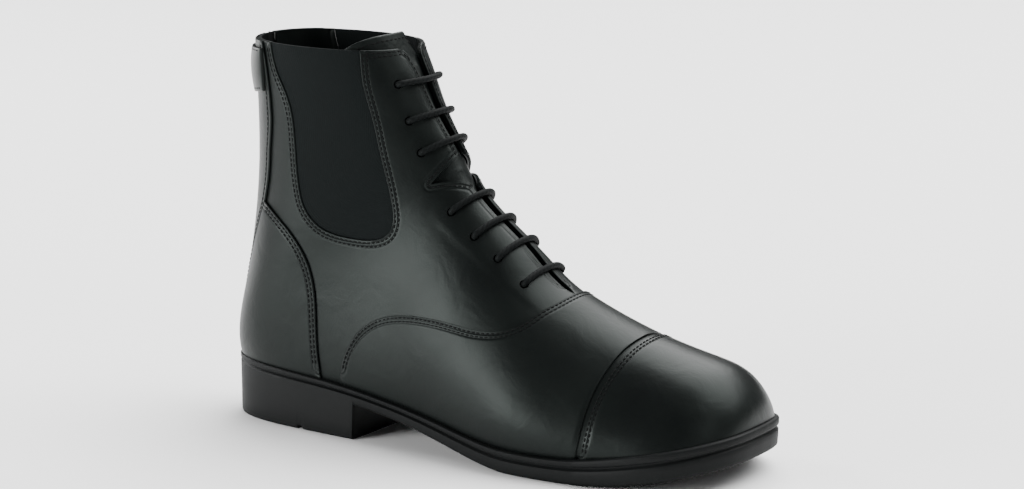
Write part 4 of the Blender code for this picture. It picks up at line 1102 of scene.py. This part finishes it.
def makeOutsole():
    # Rings of the plan outline, each moved out by the ledge and set at its level, closed by two sheets.
    lateral, _ = planOutline(0.0)
    low, high = lateral[:, 0].min(), lateral[:, 0].max()
    span = high - low
    breast = [(sole["heelLength"] - low) / span, (sole["heelLength"] + sole["breastSlant"] - low) / span]
    edges = [g + d / span for g in tread["heelGrooves"] + tread["foreGrooves"]
             for d in (0, sole["grooveSlope"], sole["grooveWidth"] - sole["grooveSlope"], sole["grooveWidth"])]
    even = (1 - np.cos(pi * np.linspace(0, 1, 170))) / 2
    fixed = np.array([0, 1, *breast, *edges])
    even = even[np.abs(even[:, None] - fixed[None, :]).min(axis=1) > 0.0012]
    shares = np.unique(np.r_[even, fixed])
    ring, normal = soleRing(0.0, shares)
    along = np.r_[shares, shares[-2:0:-1]]
    x = ring[:, 0]
    ledge = sole["ledge"] * np.clip(0.5 + 0.5 * (x - low) / sole["heelLength"], 0.5, 1)
    top, under = plate(x)[1], np.maximum(plate(x)[0] - sole["flatSink"], 0)
    heel = along < breast[1] - 1e-6
    floor = np.where(heel, 0.0, under)
    notch = grooveDepthAt(x, low, span) * (along > tread["heelGrooves"][2] - 0.01) * (along < breast[0])
    floor = floor + notch
    levels = [(ledge * (1 - inset), top - drop * (top - under)) for drop, inset in sole["side"]]
    foot = levels[-1][1]
    for t, inset in ((0.33, 0.10), (0.66, 0.13)):
        levels.append((ledge * (1 - inset), foot + (floor + 1.6 * mm - foot) * t))
    levels += [(ledge * (1 - inset), floor + rise) for rise, inset in
               ((1.6 * mm, 0.16), (0.9 * mm, 0.22), (0.35 * mm, 0.38), (0.0, 0.70))]
    grid = np.stack([np.column_stack([ring + normal * out[:, None], z]) for out, z in levels])
    n, count = len(shares), len(ring)
    faces = [ringQuads(grid.shape[0], count)[:, ::-1]]
    points, start = [grid.reshape(-1, 3)], grid.shape[0] * count
    mate = (count - np.arange(n)) % count
    for level, columns, isBottom in ((0, 7, False), (grid.shape[0] - 1, tread["across"], True)):
        left, right = grid[level, :n], grid[level, mate]
        t = np.linspace(0, 1, columns)[None, :, None]
        sheet = left[:, None] * (1 - t) + right[:, None] * t
        if isBottom:
            inside = np.clip((tread["rim"] - np.abs(2 * t[..., 0] - 1)) / 0.05, 0, 1)
            floorLine = np.where(shares < breast[1] - 1e-6, 0.0,
                                 np.maximum(plate(sheet[:, 0, 0])[0] - sole["flatSink"], 0))
            depth = grooveDepthAt(sheet[..., 0], low, span)
            edge = sheet[:, :1, 2] * (1 - t[..., 0]) + sheet[:, -1:, 2] * t[..., 0]
            middle = floorLine[:, None] + depth
            sheet[..., 2] = edge * (1 - inside) + middle * inside
            sheet[:, 0, 2], sheet[:, -1, 2] = left[:, 2], right[:, 2]
        index = start + np.arange(n * columns).reshape(n, columns)
        faces.append(quads(index) if isBottom else quads(index)[:, ::-1])
        points.append(sheet.reshape(-1, 3))
        start += n * columns
    return meshObject("rubber_unit_sole", np.concatenate(points), np.concatenate(faces).tolist())


outsolePiece = makeOutsole()


def makeInsole():
    # A flat pad with a rounded upper edge.
    shares = np.r_[0, (1 - np.cos(pi * np.linspace(0.02, 0.98, 90))) / 2, 1]
    ring, normal = soleRing(-upper["wall"] - tread["insolePlay"], shares)
    n, count = len(shares), len(ring)
    mate = (count - np.arange(n)) % count
    low = plate(ring[:, 0])[1] + 0.3 * mm
    rings = [(0.0, low), (0.0, low + 2.0 * mm), (-0.8 * mm, low + tread["insole"])]
    grid = np.stack([np.column_stack([ring + normal * out, z]) for out, z in rings])
    faces = [ringQuads(3, count)]
    points, start = [grid.reshape(-1, 3)], 3 * count
    for level, flip in ((0, True), (2, False)):
        t = np.linspace(0, 1, 20)[None, :, None]
        sheet = grid[level, :n][:, None] * (1 - t) + grid[level, mate][:, None] * t
        index = start + np.arange(n * 20).reshape(n, 20)
        faces.append(quads(index)[:, ::-1] if flip else quads(index))
        points.append(sheet.reshape(-1, 3))
        start += n * 20
    return meshObject("sock_lining_pad", np.concatenate(points), np.concatenate(faces).tolist())


insolePiece = makeInsole()
print("sole and insole made")

# Stitches: rows of short polyester threads, each a small pillow sunk in its trough
stitch = {"pitch": 2.6 * mm, "size": (2.0 * mm, 0.75 * mm, 0.45 * mm), "lift": 0.05 * mm, "lineSteps": 1500,
          # distances of the rows from the seam or edge that they follow
          "vamp": (1.2 * mm, 3.0 * mm), "cap": (1.1 * mm, 2.8 * mm), "counter": (1.6 * mm, 3.6 * mm),
          "gore": (1.4 * mm, 3.4 * mm), "throat": 1.9 * mm, "strip": 1.5 * mm,
          "collar": (0.10, 0.22),           # stations below the collar
          "flap": (0.07, 0.93), "tongue": 0.975,    # shares of the height
          "flapRise": 0.15 * mm}            # the flap's face swells beside its edge


def stitchSites(stations, angles, offset, distance, trim=0.0):
    # Centres and directions at even steps along a seam moved sideways over the surface.
    s, a = shiftedOnLast(stations, angles, distance) if distance else (stations, angles)
    line = resampled(np.column_stack([s, a, skinPoint(s, a, offset)]), stitch["lineSteps"])
    run = np.linalg.norm(np.diff(line[:, 2:], axis=0), axis=1).sum()
    count = max(2, int((run - 2 * trim) / stitch["pitch"]))
    at = (trim + (run - 2 * trim) * (np.arange(count) + 0.5) / count) / run * (len(line) - 1)
    row, near = (np.stack([np.interp(at + ahead, np.arange(len(line)), column) for column in line.T], -1)
                 for ahead in (0, 2))
    way = near[:, 2:] - row[:, 2:]
    way /= np.maximum(np.linalg.norm(way, axis=1, keepdims=True), 1e-9)
    normal = lastNormal(row[:, 0], row[:, 1])
    side = np.cross(normal, way)
    return row[:, 2:], way, side, normal


def stitchPiece(name, rows):
    # All the rows of one seam as one piece.
    return repeatedBlocks(name, *[np.concatenate(group) for group in zip(*rows)], stitch["size"])


def signedSeam(name, side, offset, end):
    # Stations and signed angles of a seam, down to a share of the way to the sole.
    s, f = sideSeam(name, side, offset, 400)
    keep = f <= end
    return s[keep], side * f[keep] * featherAngle(s[keep], side, offset, -sole["sunk"])


# Each seam's piece of stitches: its name and slot
stitchPieces = {"vamp": ("vamp_stitching", "vamp_leather"), "cap": ("toe_cap_stitching", "cap_leather"),
                "counter": ("counter_stitching", "back_leather"),
                "quarter": ("quarter_stitching", "quarter_leather"),
                "back": ("back_strip_stitching", "back_leather"), "flap": ("flap_stitching", "back_leather"),
                "tongue": ("tongue_stitching", "tongue_leather")}


def sew(name, stations, angles, height, distance, trim=0.0):
    # Adds one row to a seam's piece, a little above the leather's height.
    seamStitches[name].append(stitchSites(stations, angles, height + stitch["lift"], distance, trim))


seamStitches = {name: [] for name in stitchPieces}
markLines = {name: [] for name in stitchPieces}
tops = {name: overlays["gap"] + overlays[name] for name in ("vamp", "cap", "back")}
for side in (-1, 1):
    for name, shift in (("vamp", 0.0), ("cap", -overlays["lap"])):
        s, a = signedSeam(name, side, tops[name], 0.93)
        s = s + shift
        markLines[name].append(skinPoint(s, a, tops[name]))
        for distance in stitch[name]:
            sew(name, s, a, tops[name], -side * distance)
    s, share = seamOnLast(seams["counter"], 1200)
    a = shareAngle(share)
    inside = (a < counterSide(s, side, tops["back"]) - 0.01) & (a < 0.96 * featherAngle(s, side, 0.0, 0.0))
    s, a = s[inside], side * a[inside]
    markLines["counter"].append(skinPoint(s, a, tops["back"]))
    for distance in stitch["counter"]:
        sew("counter", s, a, tops["back"], side * distance, 2 * mm)
print("overlay seams sewn")

windowS, windowShare = seamOnLast(np.array(upper["window"]) * (length, collarHeight), 900, (1, 1))
windowA = shareAngle(windowShare)
keep = windowS < collarRow - 0.08
windowS, windowA = windowS[keep], windowA[keep]
throatRows = np.linspace(5.15, collarRow - 0.12, 700)
stripRows = np.linspace(zipEnd + 0.1, collarRow - 0.05, 300)
for side in (-1, 1):
    throatA = side * throatEdge(throatRows)
    markLines["quarter"] += [skinPoint(windowS, side * windowA), skinPoint(throatRows, throatA)]
    for distance in stitch["gore"]:
        sew("quarter", windowS, side * windowA, 0.0, side * distance)
    sew("quarter", throatRows, throatA, 0.0, -side * stitch["throat"])
    front = windowEdges(np.array([collarRow - 0.09]))[0]
    across = np.linspace(throatEdge(np.array([12.9]))[0] + 0.05, front[0] - 0.06, 60)
    for drop in stitch["collar"]:
        sew("quarter", np.full(60, collarRow - drop), side * across, 0.0, 0.0)
    for angles in (backAngle(stripRows, back["stripInner"] + stitch["strip"]),
                   stripOuter(stripRows, -stitch["strip"])):
        sew("back", stripRows, side * angles, tops["back"], 0.0)
    markLines["back"] += [skinPoint(stripRows, side * backAngle(stripRows, back["stripInner"]), tops["back"]),
                          skinPoint(stripRows, side * stripOuter(stripRows), tops["back"])]
for up in stitch["flap"]:
    s, a = flapPlace(np.linspace(0.05, 0.97, 200), np.full(200, up))
    sew("flap", s, a, flapInner(a) + flap["leather"] + stitch["flapRise"], 0.0)
s, a = tonguePlace(stitch["tongue"], np.linspace(-0.9, 0.9, 200))
sew("tongue", s, a, -upper["wall"] - tongue["play"], 0.0)
for name, (pieceName, slot) in stitchPieces.items():
    dress(stitchPiece(pieceName, seamStitches[name]), dullThread, sharp=80)
print("stitches made")

# Each piece gets its edge distances and its finish, and the solid of the frame it stands for is hidden
farAway = [np.full((1, 3), 9.0)]
leatherPieces = (
    (quarters, quarterLeather, "quarter_leather", "upper", "quarter"),
    (vampPiece, vampLeather, "vamp_leather", "vamp", "vamp"),
    (capPiece, capLeather, "cap_leather", "toe_cap", "cap"),
    (counters[0], counterLeather, "back_leather", "counter_lateral", "counter"),
    (counters[1], counterLeather, "back_leather", "counter_medial", "counter"),
    (heelPatch, backLeather, "back_leather", "heel_patch", None),
    (backStrips[0], backLeather, "back_leather", "back_strip_lateral", "back"),
    (backStrips[1], backLeather, "back_leather", "back_strip_medial", "back"),
    (flapPiece, flapLeather, "back_leather", "snap_flap", None),
    (tonguePiece, tongueLeather, "tongue_leather", "tongue", None))
for piece, material, slot, node, mark in leatherPieces:
    markDistance(piece, markLines[mark] if mark else farAway)
    dress(piece, material, (node,))
dress(zipTapePiece, zipTape, ("back_zip",))
dress(zipTeeth, coilPlastic, sharp=80)
dress(gores[0], elasticWeave, ("gore_lateral",))
dress(gores[1], elasticWeave, ("gore_medial",))
dress(outsolePiece, mouldedRubber, ("outsole",), sharp=38)
dress(insolePiece, sockLining, ("insole",))
for number, piece in enumerate(laces, 1):
    dress(piece, laceBraid, ("lace_bar_%d" % number,), sharp=80)
print("pieces dressed")

# Floor, soft studio light and the camera
studio = {"floor": "#ffffff", "floorSize": 9.0, "world": "#ffffff", "worldStrength": 0.12,
          # place, size, power: an overhead bank, a low key at the left, a strip behind it, a small fill
          "lights": (("overhead_bank", (0.60, 1.50, 2.80), (5.0, 3.0), 420.0),
                     ("key_left", (-0.95, -1.55, 0.40), (1.0, 0.7), 46.0),
                     ("strip_rear_left", (-1.90, 0.25, 0.60), (0.7, 1.1), 30.0),
                     ("fill_right", (1.70, -0.60, 0.80), (0.4, 0.8), 3.0)),
          "aim": (0.105, 0.0, 0.07)}
camera = {"azimuth": 32.51, "elevation": 13.24, "distance": 1.680, "centre": (0.1045, 0.0, 0.070),
          "lens": 118.4, "sensor": 36.0, "pixel": 1 / 2004.0,   # metres per pixel at the centre
          "right": 17.6, "up": 61.3}                           # photograph's framing, in its pixels


def lookAt(thing, place, target):
    # Turns a camera or a light so that its own -Z points at the target.
    ahead = np.array(target) - np.array(place)
    ahead = ahead / np.linalg.norm(ahead)
    right = np.cross(ahead, (0, 0, 1))
    right = right / np.linalg.norm(right)
    upward = np.cross(right, ahead)
    matrix = np.eye(4)
    matrix[:3, 0], matrix[:3, 1], matrix[:3, 2], matrix[:3, 3] = right, upward, -ahead, place
    thing.matrix_world = Matrix(matrix.tolist())


def makeStage():
    # Pale floor, even world light and the soft area lights.
    half = studio["floorSize"] / 2
    mesh = bpy.data.meshes.new("floor")
    corners = [(-half, -half, 0), (half, -half, 0), (half, half, 0), (-half, half, 0)]
    mesh.from_pydata(corners, [], [(0, 1, 2, 3)])
    floor = linkedObject("floor", mesh)
    mesh.materials.append(newMaterial("matt_white_sweep", studio["floor"], 0.9, 1.45)[0])
    world = bpy.data.worlds.new("pale_studio")
    world.use_nodes = True
    background = world.node_tree.nodes["Background"]
    background.inputs["Color"].default_value = hexColor(studio["world"])
    background.inputs["Strength"].default_value = studio["worldStrength"]
    bpy.context.scene.world = world
    for name, place, size, power in studio["lights"]:
        data = bpy.data.lights.new(name, "AREA")
        data.shape, data.size, data.size_y, data.energy = "RECTANGLE", *size, power
        lookAt(linkedObject(name, data), place, studio["aim"])


def makeCamera():
    # Stands at the photograph's angle and looks a little past the boot's centre.
    azimuth, elevation = math.radians(camera["azimuth"]), math.radians(camera["elevation"])
    toEye = np.array((math.sin(azimuth) * math.cos(elevation), -math.cos(azimuth) * math.cos(elevation),
                      math.sin(elevation)))
    right = np.array((math.cos(azimuth), math.sin(azimuth), 0))
    upward = np.cross(toEye, right)
    centre = np.array(camera["centre"])
    target = centre + right * camera["right"] * camera["pixel"] + upward * camera["up"] * camera["pixel"]
    data = bpy.data.cameras.new("camera")
    data.lens, data.sensor_width = camera["lens"], camera["sensor"]
    eye = linkedObject("camera", data)
    lookAt(eye, centre + toEye * camera["distance"], target)
    bpy.context.scene.camera = eye


makeStage()
makeCamera()
print("stage and camera ready")
